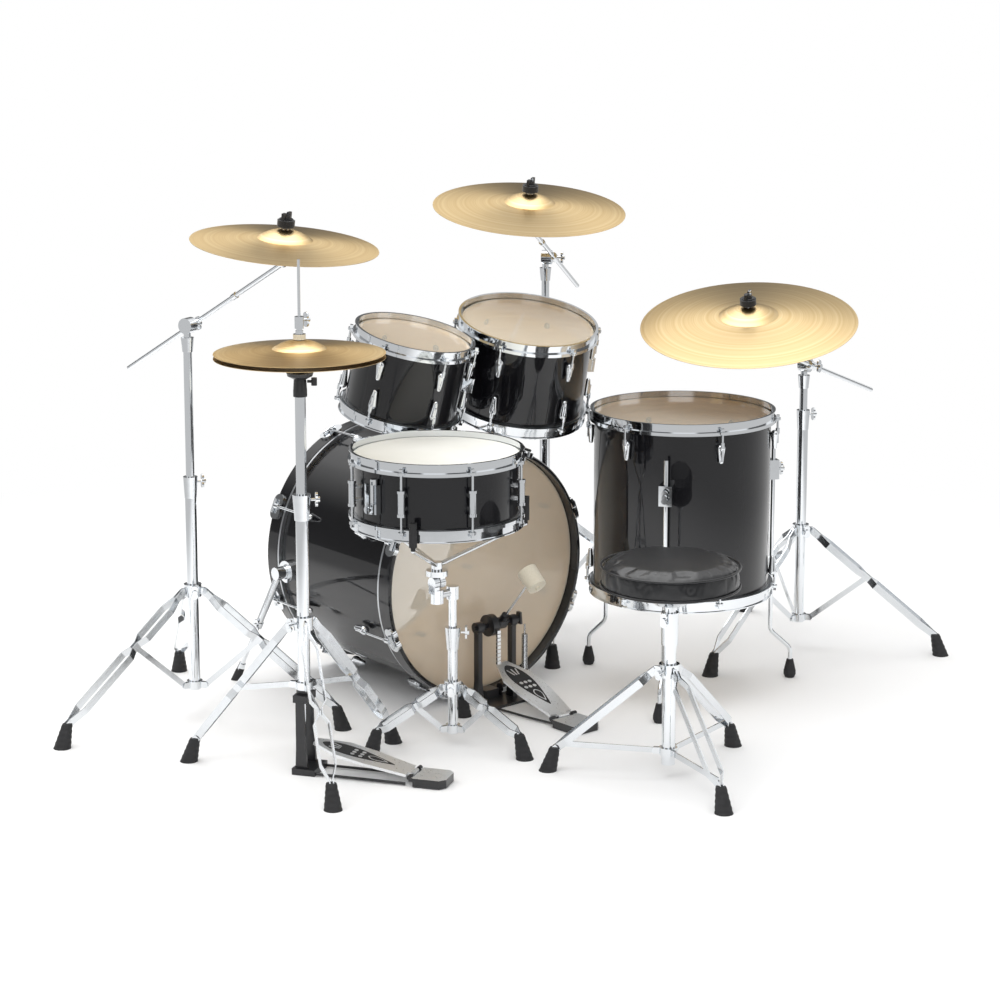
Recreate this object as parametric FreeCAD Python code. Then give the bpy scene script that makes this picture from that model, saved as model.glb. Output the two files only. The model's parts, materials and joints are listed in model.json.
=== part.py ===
"""Acoustic drum kit: bass drum, two rack toms, floor tom, snare, hi-hat, three boom cymbal stands,
bass drum pedal and throne.

Millimetres, +Z up.  The drummer sits on the -Y side and faces +Y; +X is the drummer's right.
While it is built, the bass drum's batter hoop stands at x = 0, y = 0.  At the end everything is
carried so that the origin is the middle of the kit's footprint, on the floor.
"""
import FreeCAD, Part
import math
import os

V = FreeCAD.Vector
INCH = 25.4
UP = (0, 0, 1)

# ---- driving dimensions ------------------------------------------------------------------
BASS_R = 22 * INCH / 2
BASS_DEPTH = 16 * INCH
BASS_LIFT = 295.5            # height of the drum's axis at the batter hoop
BASS_RAKE = 1.3              # degrees that the spurs lift the front
BASS_LUG_COUNT = 8
BASS_LUG_FIRST = 22.5

SMALL_TOM = {"radius": 10 * INCH / 2, "depth": 7 * INCH, "rim": (-160, 62, 866),
             "axis": (0.080, -0.220, 0.972), "lugs": 6, "first": 22}
MIDDLE_TOM = {"radius": 12 * INCH / 2, "depth": 8 * INCH, "rim": (150, 30, 868),
              "axis": (-0.050, -0.250, 0.967), "lugs": 6, "first": 28}
FLOOR_TOM = {"radius": 16 * INCH / 2, "depth": 16 * INCH, "rim": (394, -230, 668),
             "axis": UP, "lugs": 6, "first": 9}
SNARE = {"radius": 14 * INCH / 2, "depth": 5.5 * INCH, "rim": (-318, -200, 666),
         "axis": UP, "lugs": 8, "first": 28}

HIHAT_XY = (-633, -140)
HIHAT_R = 14 * INCH / 2
HIHAT_EDGE = 897             # top cymbal's edge; the bottom one's is HIHAT_GAP lower
HIHAT_GAP = 10
HIHAT_ROD_TOP = 1091

CRASHES = {
    "left": {"radius": 16 * INCH / 2, "post": (-586, 336), "pivot_z": 892, "joint_z": 528,
             "centre": (-501, 86, 1088), "axis": (0.015, -0.125, 0.992), "bell": 60,
             "bow": 13, "rear": 0.75, "clamp_z": 292, "bracket_z": 73,
             "spread": 357, "phase": 61.6, "knee": 0.42},
    "rear": {"radius": 18 * INCH / 2, "post": (512, 373), "pivot_z": 946, "joint_z": 700,
             "centre": (299, 196, 1097), "axis": (-0.070, -0.165, 0.984), "bell": 61,
             "bow": 16, "rear": 0.95, "clamp_z": 300, "bracket_z": 75,
             "spread": 371, "phase": 111.0, "knee": 0.42},
    "ride": {"radius": 20 * INCH / 2, "post": (862, -178), "pivot_z": 708, "joint_z": 572,
             "centre": (604, -235, 841), "axis": (-0.215, -0.140, 0.966), "bell": 70,
             "bow": 22, "rear": 1.0, "clamp_z": 297, "bracket_z": 76,
             "spread": 349, "phase": 65.8, "knee": 0.45},
}
BELL_RISE = 21
CYMBAL_THICK = 1.2
CYMBAL_HOLE = 7.5
FELT_GAP = 1.7

SNARE_POST = (-276, -202)
THRONE_XY = (-77, -669)
THRONE_SEAT_R = 148
THRONE_SEAT_TOP = 470
THRONE_SEAT_THICK = 62

PEDAL_X = -4
PEDAL_SHAFT = (-38, 186)     # y and z of the bass drum pedal's shaft
PEDAL_HEEL = (-262, 22)      # y and z of its footboard's hinge
PEDAL_TOE = (-52, 98)
BEATER_AT = (-146, 312)      # y and z of the resting beater's middle
HIHAT_PEDAL_TURN = -58.8     # degrees from +X of the hi-hat pedal's length

WALL = 7.0                   # plywood shell wall
RIM_HEIGHT = 13.5            # flanged hoop above the head
ROD_OUT = 15.5               # tension rod's distance outside the shell
LEG_STRIP = (2.6, 16.0)      # thickness and height of a pressed leg strip
FOOT_HEIGHT = 52.0
FOOT_R = 19.5

NODES = {}
JOINT_POINTS = {}


# ---- small builders ----------------------------------------------------------------------
def keep(name, *solids):
    """Adds solids to a named sub-part."""
    NODES.setdefault(name, []).extend(solids)


def unit(vector):
    length = math.sqrt(sum(value * value for value in vector))
    return tuple(value / length for value in vector)


def along(start, direction, distance):
    return tuple(a + b * distance for a, b in zip(start, direction))


def polar(centre, angle, radius, height):
    """A point at an angle and radius about a vertical axis through centre."""
    turn = math.radians(angle)
    return (centre[0] + radius * math.cos(turn), centre[1] + radius * math.sin(turn), height)


def bar(start, end, radius):
    axis = V(*end) - V(*start)
    return Part.makeCylinder(radius, axis.Length, V(*start), axis)


def pipe(start, end, outer, inner):
    return bar(start, end, outer).cut(bar(start, end, inner))


def taper(start, end, start_radius, end_radius):
    axis = V(*end) - V(*start)
    return Part.makeCone(start_radius, end_radius, axis.Length, V(*start), axis)


def ball(centre, radius):
    return Part.makeSphere(radius, V(*centre))


def fused(first, *others):
    solid = first.multiFuse(list(others))
    return solid.removeSplitter()


def turned(profile):
    """A solid of revolution about +Z from a closed outline of (radius, height) points."""
    points = [V(radius, 0, height) for radius, height in profile]
    face = Part.Face(Part.makePolygon(points + points[:1]))
    solid = face.revolve(V(0, 0, 0), V(0, 0, 1), 360)
    if solid.Volume < 0:
        solid.reverse()
    return solid


def stood(origin, axis, spin=0.0):
    """The placement that stands +Z along axis at origin, after a turn about +Z."""
    lean = FreeCAD.Rotation(V(*UP), V(*axis))
    return FreeCAD.Placement(V(*origin), lean * FreeCAD.Rotation(V(*UP), spin))


def put(solid, place):
    moved = solid.copy()
    moved.Placement = place.multiply(solid.Placement)
    return moved


def ring_of(solid, count, first=0.0):
    """Copies of a solid, evenly spaced about +Z."""
    step = 360.0 / count
    return [put(solid, stood((0, 0, 0), UP, first + step * index)) for index in range(count)]


def slab(outline, plane_x, plane_y, origin, thickness):
    """A flat outline in the plane of two directions, given thickness along their normal."""
    def at(point):
        return V(*along(along(origin, plane_x, point[0]), plane_y, point[1]))
    normal = V(*plane_x).cross(V(*plane_y)).normalize()
    corners = [at(point) - normal * (thickness / 2) for point in outline]
    face = Part.Face(Part.makePolygon(corners + corners[:1]))
    return face.extrude(normal * thickness)


def box_about(centre, size):
    corner = V(*centre) - V(*size) * 0.5
    return Part.makeBox(size[0], size[1], size[2], corner)


def bent_rod(points, radius, bend):
    """A round rod along straight runs, with an arc of the given radius at each corner."""
    edges = []
    start = V(*points[0])
    for before, corner, after in zip(points, points[1:], points[2:]):
        inward = (V(*before) - V(*corner)).normalize()
        outward = (V(*after) - V(*corner)).normalize()
        half = inward.getAngle(outward) / 2
        reach = bend / math.tan(half)
        first = V(*corner) + inward * reach
        last = V(*corner) + outward * reach
        middle_way = (inward + outward).normalize()
        centre = V(*corner) + middle_way * (bend / math.sin(half))
        edges.append(Part.LineSegment(start, first).toShape())
        edges.append(Part.Arc(first, centre - middle_way * bend, last).toShape())
        start = last
    edges.append(Part.LineSegment(start, V(*points[-1])).toShape())
    way = V(*points[1]) - V(*points[0])
    section = Part.Wire(Part.makeCircle(radius, V(*points[0]), way))
    return Part.Wire(edges).makePipeShell([section], True, False)


def wing_bolt(point, direction, reach=16.0):
    """A wing bolt whose shank leaves point along direction, with wings up and down."""
    head = along(point, direction, reach)
    tip = along(head, direction, 9)
    wings = [bar(along(head, (0, 0, side), 8), along(along(head, (0, 0, side), 8), direction, 4.5), 7.5)
             for side in (1, -1)]
    return fused(bar(point, head, 3.0), bar(head, tip, 6.0), *wings)


# ---- drums -------------------------------------------------------------------------------
def shell_of(radius, depth):
    """A plywood shell from z = 0 down, with 45-degree bearing edges."""
    inner = radius - WALL
    return turned([(inner, -5), (inner + 3, 0), (inner + 4, 0), (radius, -3),
                   (radius, 3 - depth), (inner + 4, -depth), (inner + 3, -depth), (inner, 5 - depth)])


def head_of(radius, collar=14.0, bead=5.8):
    """A drum head: film over the edge, a short collar, and the metal ring that it is set in."""
    top = 0.35
    return turned([(0, 0.05), (0, top), (radius + 0.9, top), (radius + 0.9, 6 - collar),
                   (radius + bead, 6 - collar), (radius + bead, -collar), (radius + 0.4, -collar),
                   (radius + 0.4, 0.05)])


def flanged_hoop(radius, angles):
    """A pressed triple-flange hoop that sits on the head's ring, with an ear at each rod."""
    rim = turned([(radius + 4, RIM_HEIGHT), (radius + 10, RIM_HEIGHT), (radius + 10, RIM_HEIGHT - 2),
                  (radius + 6.2, RIM_HEIGHT - 2), (radius + 6.2, -5.6), (radius + 12, -5.6),
                  (radius + 12, -13), (radius + 9.9, -13), (radius + 9.9, -7.8), (radius + 4, -7.8)])
    solids = []
    holes = []
    for angle in angles:
        foot = polar((0, 0), angle, radius + ROD_OUT - 1.5, -8.6)
        solids.append(bar(foot, along(foot, UP, 4.2), 8.0))
        foot = polar((0, 0), angle, radius + ROD_OUT, -20)
        holes.append(bar(foot, along(foot, UP, 30), 3.1))
    ears = Part.makeCompound(solids).cut(bar((0, 0, -20), (0, 0, 20), radius + 11))
    return rim.fuse(ears.Solids).cut(Part.makeCompound(holes)).removeSplitter()


def rod_of(radius, end):
    """A tension rod with its washer and square head, at angle 0."""
    axis = (radius + ROD_OUT, 0)
    rod = bar((*axis, end), (*axis, -3), 2.7)
    washer = bar((*axis, -4.2), (*axis, -3), 6.4)
    head = Part.makeBox(7, 7, 6.5, V(axis[0] - 3.5, -3.5, -3))
    return fused(rod, washer, head)


def drop_lug(radius, top, size, length, seat=9.0):
    """A teardrop lug at angle 0, wide where the rod goes in, cut to sit on the shell."""
    middle = radius + seat
    low = top - length
    body = fused(taper((middle, 0, top - size), (middle, 0, low + size * 0.55), size, size * 0.55),
                 ball((middle, 0, top - size), size), ball((middle, 0, low + size * 0.55), size * 0.55))
    socket = bar((radius + ROD_OUT, 0, top - 8), (radius + ROD_OUT, 0, top + 4), 4.6)
    shell = bar((0, 0, top + 20), (0, 0, low - 20), radius + 0.05)
    hole = bar((radius + ROD_OUT, 0, top + 10), (radius + ROD_OUT, 0, low + 6), 2.8)
    return body.fuse(socket).cut(shell).cut(hole).removeSplitter()


def tube_lug(radius, top, bottom):
    """A tube lug at angle 0 that serves the rods of both ends, on two turned stand-offs."""
    axis = radius + ROD_OUT
    body = bar((axis, 0, bottom), (axis, 0, top), 7.5)
    collars = [bar((axis, 0, height - 3), (axis, 0, height + 3), 9.0) for height in (top - 3, bottom + 3)]
    feet = [bar((radius - 4, 0, height), (axis, 0, height), 5.0) for height in (top - 14, bottom + 14)]
    shell = bar((0, 0, top + 20), (0, 0, bottom - 20), radius + 0.05)
    hole = bar((axis, 0, top + 10), (axis, 0, bottom - 10), 2.8)
    return fused(body, *collars, *feet).cut(shell).cut(hole)


def drum(name, spec, lug_slot, heads):
    """Shell, heads, hoops and fittings of one flanged-hoop drum; returns its placement."""
    radius = spec["radius"]
    depth = spec["depth"]
    place = stood(along(spec["rim"], spec["axis"], -RIM_HEIGHT), spec["axis"])
    flip = FreeCAD.Placement(V(0, 0, -depth), FreeCAD.Rotation(V(1, 0, 0), 180))
    below = place.multiply(flip)
    step = 360.0 / spec["lugs"]
    angles = [spec["first"] + step * index for index in range(spec["lugs"])]
    keep(name + "_shell", put(shell_of(radius, depth), place))
    for where, turn, head_name in ((place, 1, heads[0]), (below, -1, heads[1])):
        keep(head_name, put(head_of(radius), where))
        keep(name + "_hoops", put(flanged_hoop(radius, [turn * angle for angle in angles]), where))
        if lug_slot == "tube":
            rod = rod_of(radius, 1.0 - depth * 0.36)
            fittings = []
        else:
            rod = rod_of(radius, -62)
            fittings = ring_of(drop_lug(radius, -32, 9.5, 46), spec["lugs"], turn * spec["first"])
        fittings += ring_of(rod, spec["lugs"], turn * spec["first"])
        keep(name + "_fittings", *[put(solid, where) for solid in fittings])
    if lug_slot == "tube":
        lug = tube_lug(radius, -depth * 0.30, -depth * 0.70)
        keep(name + "_fittings", *[put(solid, place) for solid in ring_of(lug, spec["lugs"], spec["first"])])
    return place


def tom_mount(name, spec, facing, ends, socket_at):
    """The suspension mount round a tom's far side: a strap, its end blocks and the arm's socket."""
    radius = spec["radius"]
    middle = -spec["depth"] / 2
    place = stood(along(spec["rim"], spec["axis"], -RIM_HEIGHT), spec["axis"])
    inner = radius + 20
    strap = pipe((0, 0, middle - 13), (0, 0, middle + 13), inner + 3, inner)
    span = math.radians(ends)
    reach = 2 * inner
    wedge = [(0, 0), (reach * math.cos(-span), reach * math.sin(-span)), (reach * 1.5, 0),
             (reach * math.cos(span), reach * math.sin(span))]
    keep_side = slab(wedge, (1, 0, 0), (0, 1, 0), (0, 0, middle), 60)
    strap = strap.common(keep_side)
    blocks = []
    for side in (-1, 1):
        block = Part.makeBox(25, 20, 34, V(radius + 1, -10, middle - 17))
        blocks.append(put(block, stood((0, 0, 0), UP, side * (ends - 4))))
    turn = stood((0, 0, 0), UP, socket_at - facing)
    socket = put(Part.makeBox(26, 34, 44, V(inner + 1, -17, middle - 22)), turn)
    whole = place.multiply(stood((0, 0, 0), UP, facing))
    centre = whole.multVec(turn.multVec(V(inner + 14, 0, middle)))
    return put(fused(strap, *blocks, socket), whole), (centre.x, centre.y, centre.z)


# ---- bass drum ---------------------------------------------------------------------------
HOOP_IN = BASS_R + 2.1
HOOP_OUT = BASS_R + 11.1
HOOP_BACK = -12.0
HOOP_FRONT = 26.0
CLAW_ROD = BASS_R + 19.6


def bass_end():
    """One end of the bass drum, with its head at z = 0 and +Z pointing out of the drum."""
    head = head_of(BASS_R, 18.4, 10.0)
    hoop = turned([(HOOP_IN, HOOP_BACK), (HOOP_IN, HOOP_FRONT - 2), (HOOP_IN + 2, HOOP_FRONT),
                   (HOOP_OUT - 3, HOOP_FRONT), (HOOP_OUT, HOOP_FRONT - 3), (HOOP_OUT, HOOP_BACK)])
    hook = Part.makeBox(HOOP_OUT + 4 - HOOP_IN - 2, 64, 34, V(HOOP_IN + 2, -32, -4.6))
    under = bar((0, 0, HOOP_BACK - 5), (0, 0, HOOP_FRONT + 0.4), HOOP_OUT + 0.4)
    lobes = [bar((HOOP_IN, side * 14, 13), (HOOP_OUT + 8, side * 14, 13), 16.5) for side in (-1, 1)]
    boss = bar((CLAW_ROD, 0, -2), (CLAW_ROD, 0, 12), 6.5)
    claw = hook.cut(under).common(lobes[0].fuse(lobes[1])).fuse(boss)
    claw = claw.cut(bar((CLAW_ROD, 0, -20), (CLAW_ROD, 0, 40), 3.3))
    rod = fused(bar((CLAW_ROD, 0, -110), (CLAW_ROD, 0, 20), 3.0),
                bar((CLAW_ROD, -17, 19), (CLAW_ROD, 17, 19), 3.6))
    lug_top = -76
    middle = BASS_R + 13
    lug = fused(taper((middle, 0, lug_top - 11), (middle, 0, lug_top - 40), 11, 6),
                ball((middle, 0, lug_top - 11), 11), ball((middle, 0, lug_top - 40), 6),
                bar((CLAW_ROD, 0, lug_top - 10), (CLAW_ROD, 0, lug_top + 5), 5.2))
    lug = lug.cut(bar((0, 0, lug_top + 30), (0, 0, lug_top - 70), BASS_R + 0.05))
    lug = lug.cut(bar((CLAW_ROD, 0, lug_top + 30), (CLAW_ROD, 0, lug_top - 38), 3.1))
    return head, hoop, claw, rod, lug


def bass_drum():
    lean = math.radians(BASS_RAKE)
    inward = (0, math.cos(lean), math.sin(lean))
    outward = tuple(-value for value in inward)
    batter = along((0, 0, BASS_LIFT), inward, HOOP_FRONT)
    resonant = along(batter, inward, BASS_DEPTH)
    keep("bass_shell", put(shell_of(BASS_R, BASS_DEPTH), stood(batter, outward)))
    head, hoop, claw, rod, lug = bass_end()
    for origin, axis in ((batter, outward), (resonant, inward)):
        place = stood(origin, axis)
        keep("bass_heads", put(head, place))
        keep("bass_hoops", put(hoop, place))
        for node, solid in (("bass_claws", claw), ("bass_claws", rod), ("bass_fittings", lug)):
            for copy in ring_of(solid, BASS_LUG_COUNT, BASS_LUG_FIRST):
                keep(node, put(copy, place))
    return inward


def spur(side, inward):
    """One folding spur: its hinge bracket on the shell, and the leg with its rubber tip."""
    hub = (side * 309, 385, 274)
    foot = (side * 357, 500, 0)
    way = unit(tuple(b - a for a, b in zip(hub, foot)))
    plate = bar((side * 270, 385, 274), (side * 292, 385, 274), 26)
    skin = bar(along((0, 0, BASS_LIFT), inward, 0), along((0, 0, BASS_LIFT), inward, 600), BASS_R + 0.05)
    plate = plate.cut(skin)
    keep("bass_fittings", plate.fuse(bar((side * 290, 385, 274), (side * 296, 385, 274), 17)))
    knuckle = bar((side * 296.4, 385, 274), (side * 322, 385, 274), 15)
    sleeve_end = along(hub, way, 150)
    tip = along(hub, way, 268)
    name = "left_spur" if side < 0 else "right_spur"
    leg = fused(knuckle, bar(hub, sleeve_end, 8.5), bar(sleeve_end, tip, 5.2),
                bar(along(sleeve_end, way, -14), sleeve_end, 11),
                wing_bolt(along(sleeve_end, way, -7), (side * 0.9, -0.43, 0), 12))
    keep(name, leg)
    floor = box_about((side * 357, 500, -20), (80, 80, 40))
    boot = taper(along(foot, way, 8), along(tip, way, -14), 11.5, 8.5)
    keep(name, boot.cut(floor).cut(leg))
    JOINT_POINTS[name] = (hub, (1, 0, 0))


def tom_holder(inward, small_mount, middle_mount):
    """The base on the bass drum, two posts and an arm to each tom's mount."""
    base_y = 236
    top_z = BASS_LIFT + BASS_R + base_y * math.tan(math.radians(BASS_RAKE))
    drum_skin = bar(along((0, 0, BASS_LIFT), inward, 0), along((0, 0, BASS_LIFT), inward, 600), BASS_R + 0.05)
    base = box_about((0, base_y, top_z + 4), (110, 74, 20)).cut(drum_skin)
    block = box_about((0, base_y, top_z + 32), (96, 44, 40))
    keep("tom_holder", base.fuse(block).removeSplitter())
    for name, side, (frame, socket) in (("small_tom", -1, small_mount), ("middle_tom", 1, middle_mount)):
        foot = (side * 28, base_y, top_z + 52.2)
        pivot = (side * 28, base_y, socket[2])
        clamp = (pivot[0], pivot[1], socket[2] - 26)
        away = (-1 if socket[0] > pivot[0] else 1, 0, 0)
        keep("tom_holder", bar(foot, clamp, 11.1))
        keep("tom_holder", fused(bar(clamp, along(clamp, UP, 16), 15.2), ball(pivot, 14.5),
                                 bar(pivot, along(pivot, away, 19), 8),
                                 wing_bolt(along(clamp, (0, 1, 0), 14.5), (0, 1, 0), 10)))
        way = unit(tuple(b - a for a, b in zip(pivot, socket)))
        arm = bar(along(pivot, way, 15.0), along(socket, way, 9), 5.4)
        keep(name + "_strap", frame.cut(arm), arm)
        JOINT_POINTS[name] = (pivot, (1, 0, 0))


# ---- tripods -----------------------------------------------------------------------------
def foot_solid(centre, angle, spread):
    """A tapered, ribbed rubber foot that leans in to the leg and stands flat on the floor."""
    steps = 9
    wires = []
    for index in range(steps + 1):
        share = index / steps
        rib = 0.9 if index % 2 else 0.0
        radius = FOOT_R + (11.5 - FOOT_R) * share - rib
        middle = polar(centre, angle, spread - 15 * share, FOOT_HEIGHT * share)
        wires.append(Part.Wire(Part.makeCircle(radius, V(*middle), V(*UP))))
    return Part.makeLoft(wires, True, True)


def tripod(post, tube_r, spread, phase, clamp_z, bracket_z, knee, bow=17.0):
    """Three double-strip legs, their braces, the hub collar, the lower bracket and the feet."""
    thick, tall = LEG_STRIP
    collar = bar((*post, clamp_z - 14), (*post, clamp_z + 14), tube_r + 7.5)
    bracket = bar((*post, bracket_z - 8), (*post, bracket_z + 8), tube_r + 5)
    for index in range(3):
        angle = phase + 120 * index
        radial = polar((0, 0), angle, 1.0, 0)
        across = polar((0, 0), angle + 90, 1.0, 0)
        top = polar(post, angle, tube_r + 14, clamp_z)
        toe = polar(post, angle, spread - 15, FOOT_HEIGHT - 4)
        down = unit(tuple(b - a for a, b in zip(top, toe)))
        length = (V(*toe) - V(*top)).Length
        near = 5.0
        shape = [(0, near), (0.06, near), (0.14, bow)]
        if knee < 0.8:
            shape += [(knee - 0.07, bow), (knee - 0.02, near + 0.6), (knee + 0.02, near + 0.6),
                      (knee + 0.07, bow)]
        shape += [(0.88, bow), (0.97, near), (1.0, near)]
        strips = []
        for side in (-1, 1):
            outer = [(share * length, side * offset) for share, offset in shape]
            inner = [(share * length, side * (offset - thick)) for share, offset in reversed(shape)]
            strips.append(slab(outer + inner, down, across, top, tall))
        keep("tripod_legs", *strips)
        joint = along(top, down, length * (knee if knee < 0.8 else 0.93))
        inner_end = polar(post, angle, tube_r + 14, bracket_z)
        reach = unit(tuple(b - a for a, b in zip(inner_end, joint)))
        keep("tripod_legs", slab([(-6, -6), (-6, 6), ((V(*joint) - V(*inner_end)).Length + 5, 6),
                                    ((V(*joint) - V(*inner_end)).Length + 5, -6)], reach,
                                   unit(tuple(V(*reach).cross(V(*across)))), inner_end, 3.0))
        ear = slab([(tube_r + 5, -8), (tube_r + 5, 8), (tube_r + 17, 8), (tube_r + 20, 4), (tube_r + 20, -8)],
                   radial, UP, (*post, clamp_z), 4.2)
        collar = collar.fuse(ear)
        for side in (-1, 1):
            plate = slab([(tube_r + 2, -7), (tube_r + 2, 7), (tube_r + 17, 7), (tube_r + 20, 3),
                          (tube_r + 20, -3), (tube_r + 17, -7)], radial, UP,
                         along((*post, bracket_z), across, side * 3.1), 2.4)
            bracket = bracket.fuse(plate)
        keep("rubber_feet", foot_solid(post, angle, spread).cut(Part.makeCompound(strips)))
    bore = bar((*post, bracket_z - 40), (*post, clamp_z + 60), tube_r)
    bolt_way = polar((0, 0), phase + 180, 1.0, 0)
    keep("tripod_hubs", collar.cut(bore), bracket.cut(bore),
         wing_bolt(along((*post, clamp_z + 2), bolt_way, tube_r + 7.7), bolt_way))


def post_collar(post, tube_top, tube_r, low, high, inner, outer_low, outer_high, bolt_angle):
    """A cast clamp collar over the top of a lower tube, with its wing bolt."""
    sleeve = taper((*post, low), (*post, high), outer_low, outer_high)
    sleeve = sleeve.cut(bar((*post, low - 5), (*post, high + 5), inner))
    sleeve = sleeve.cut(bar((*post, low - 5), (*post, tube_top), tube_r))
    way = polar((0, 0), bolt_angle, 1.0, 0)
    bolt = wing_bolt(along((*post, high - 12), way, outer_high + 0.3), way, 9)
    return [sleeve, bolt]


# ---- cymbals and their stands ------------------------------------------------------------
def cymbal(radius, bell, bow, rise=BELL_RISE):
    """A thin cymbal from its edge at z = 0 up to its bell, with the hole in the middle."""
    ball_r = (bell * bell + rise * rise) / (2 * rise)

    def bell_height(r):
        return bow + rise - ball_r + math.sqrt(ball_r * ball_r - r * r)

    def skin(drop):
        edge = V(radius, 0, -drop)
        mid = V((radius + bell) / 2, 0, bow * 0.56 - drop)
        bell_foot = V(bell, 0, bow - drop)
        bell_side = V(bell * 0.7, 0, bell_height(bell * 0.7) - drop)
        crown = V(CYMBAL_HOLE, 0, bell_height(CYMBAL_HOLE) - drop)
        arcs = [Part.Arc(edge, mid, bell_foot), Part.Arc(bell_foot, bell_side, crown)]
        return edge, crown, [arc.toShape() for arc in arcs]
    edge_top, crown_top, top = skin(0)
    edge_low, crown_low, low = skin(CYMBAL_THICK)
    close = [Part.LineSegment(crown_top, crown_low).toShape(), Part.LineSegment(edge_top, edge_low).toShape()]
    wire = Part.Wire(Part.__sortEdges__(top + low + close))
    solid = Part.Face(wire).revolve(V(0, 0, 0), V(0, 0, 1), 360)
    if solid.Volume < 0:
        solid.reverse()
    return solid


def boom_stand(name, spec):
    """A boom stand with its cymbal: lower tube, sliding tube, tilting boom, felts and cymbal."""
    post = spec["post"]
    joint_z = spec["joint_z"]
    pivot = (*post, spec["pivot_z"])
    centre = spec["centre"]
    axis = unit(spec["axis"])
    tripod(post, 12.7, spec["spread"], spec["phase"], spec["clamp_z"], spec["bracket_z"], spec["knee"])
    keep("lower_tubes", pipe((*post, spec["bracket_z"] - 12), (*post, joint_z - 20), 12.7, 11.0),
         *post_collar(post, joint_z - 20, 12.7, joint_z - 24, joint_z + 24, 9.56, 13.5, 16.0, -20))
    keep(name + "_tube", pipe((*post, joint_z - 190), (*post, spec["pivot_z"] - 54), 9.5, 8.0))
    hole_z = spec["bow"] + BELL_RISE
    tip = along(centre, axis, -40)
    flat = unit((tip[0] - pivot[0], tip[1] - pivot[1], 0))
    side = (-flat[1], flat[0], 0)
    head = fused(taper((*post, spec["pivot_z"] - 58), (*post, spec["pivot_z"] - 26), 11.5, 14.5),
                 bar((*post, spec["pivot_z"] - 30), (*post, spec["pivot_z"] - 8), 8),
                 bar(along(pivot, side, -9), along(pivot, side, 4), 17.5))
    head = head.cut(bar((*post, spec["pivot_z"] - 90), (*post, spec["pivot_z"] - 54), 9.5))
    head = head.cut(bar(along(pivot, side, 4), along(pivot, side, 30), 18.5))
    keep(name + "_tube", head)
    clamp = along(pivot, side, 22)
    way = unit(tuple(b - a for a, b in zip(clamp, tip)))
    length = (V(*tip) - V(*clamp)).Length
    rear = along(clamp, way, -length * spec["rear"])
    rod = fused(bar(rear, tip, 5.5), bar(along(pivot, side, 4.4), along(pivot, side, 16), 17.5),
                bar(along(clamp, way, -14), along(clamp, way, 14), 9.5),
                bar(along(clamp, way, length * 0.45), along(clamp, way, length * 0.45 + 12), 7.5),
                ball(tip, 10), bar(tip, along(centre, axis, hole_z + 34), 4.0),
                bar(along(centre, axis, hole_z - 21), along(centre, axis, hole_z - 17), 15),
                wing_bolt(along(clamp, side, 8), side, 9))
    keep(name + "_boom", rod)
    under = hole_z - CYMBAL_THICK - FELT_GAP
    over = hole_z + FELT_GAP
    rod_gap = 4.05
    low_felt = turned([(rod_gap, under - 13), (16, under - 13), (16, under - 6), (8, under),
                       (rod_gap, under)])
    high_felt = turned([(rod_gap, over), (9, over), (19, over + 5), (19, over + 19), (rod_gap, over + 19)])
    nut = turned([(rod_gap, over + 19.2), (15, over + 19.2), (15, over + 22), (9, over + 22), (9, over + 30),
                  (rod_gap, over + 30)])
    wings = box_about((0, 0, over + 28), (36, 6, 14)).cut(bar((0, 0, 0), (0, 0, over + 40), 6))
    place = stood(centre, axis, 25)
    keep(name + "_boom", *[put(solid, place) for solid in (low_felt, high_felt, nut.fuse(wings))])
    keep(name + "_cymbal", put(cymbal(spec["radius"], spec["bell"], spec["bow"]), place))
    JOINT_POINTS[name + "_boom"] = (pivot, side)
    hole = along(centre, axis, hole_z - CYMBAL_THICK / 2)
    JOINT_POINTS[name + "_cymbal"] = (hole, unit(tuple(V(*flat).cross(V(*axis)))))


# ---- hi-hat ------------------------------------------------------------------------------
def footboard(length, width, heel_width):
    """A footboard from its heel to its toe along +X; its hinge runs along Y through the origin."""
    half = width / 2
    neck = heel_width / 2 - 16
    outline = [(0, -neck), (9, -neck), (9, -heel_width / 2), (length * 0.45, -half), (length * 0.72, -half),
               (length, -15), (length, 15), (length * 0.72, half), (length * 0.45, half),
               (9, heel_width / 2), (9, neck), (0, neck)]
    plate = slab(outline, (1, 0, 0), (0, 1, 0), (0, 0, 0), 6)
    knuckle = bar((0, -neck, 0), (0, neck, 0), 5)
    hole = bar((0, -half, 0), (0, half, 0), 2.56)
    return plate.fuse(knuckle).cut(hole).removeSplitter()


def heel_plate(length, width):
    """The fixed heel: a wedge on the floor behind the hinge, with the hinge's two outer knuckles."""
    half = width / 2
    body = slab([(-length, -half + 14), (-length + 12, -half), (-8, -half), (-8, half),
                 (-length + 12, half), (-length, half - 14)], (1, 0, 0), (0, 1, 0), (0, 0, -12), 18)
    knuckles = [bar((0, side * (half - 1), -3), (0, side * (half - 14.5), -3), 5) for side in (-1, 1)]
    arms = [box_about((-8, side * (half - 8), -7), (18, 12, 8)) for side in (-1, 1)]
    pin = bar((0, -half + 2, -3), (0, half - 2, -3), 2.5)
    return [fused(body, *knuckles, *arms, pin)]


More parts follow.
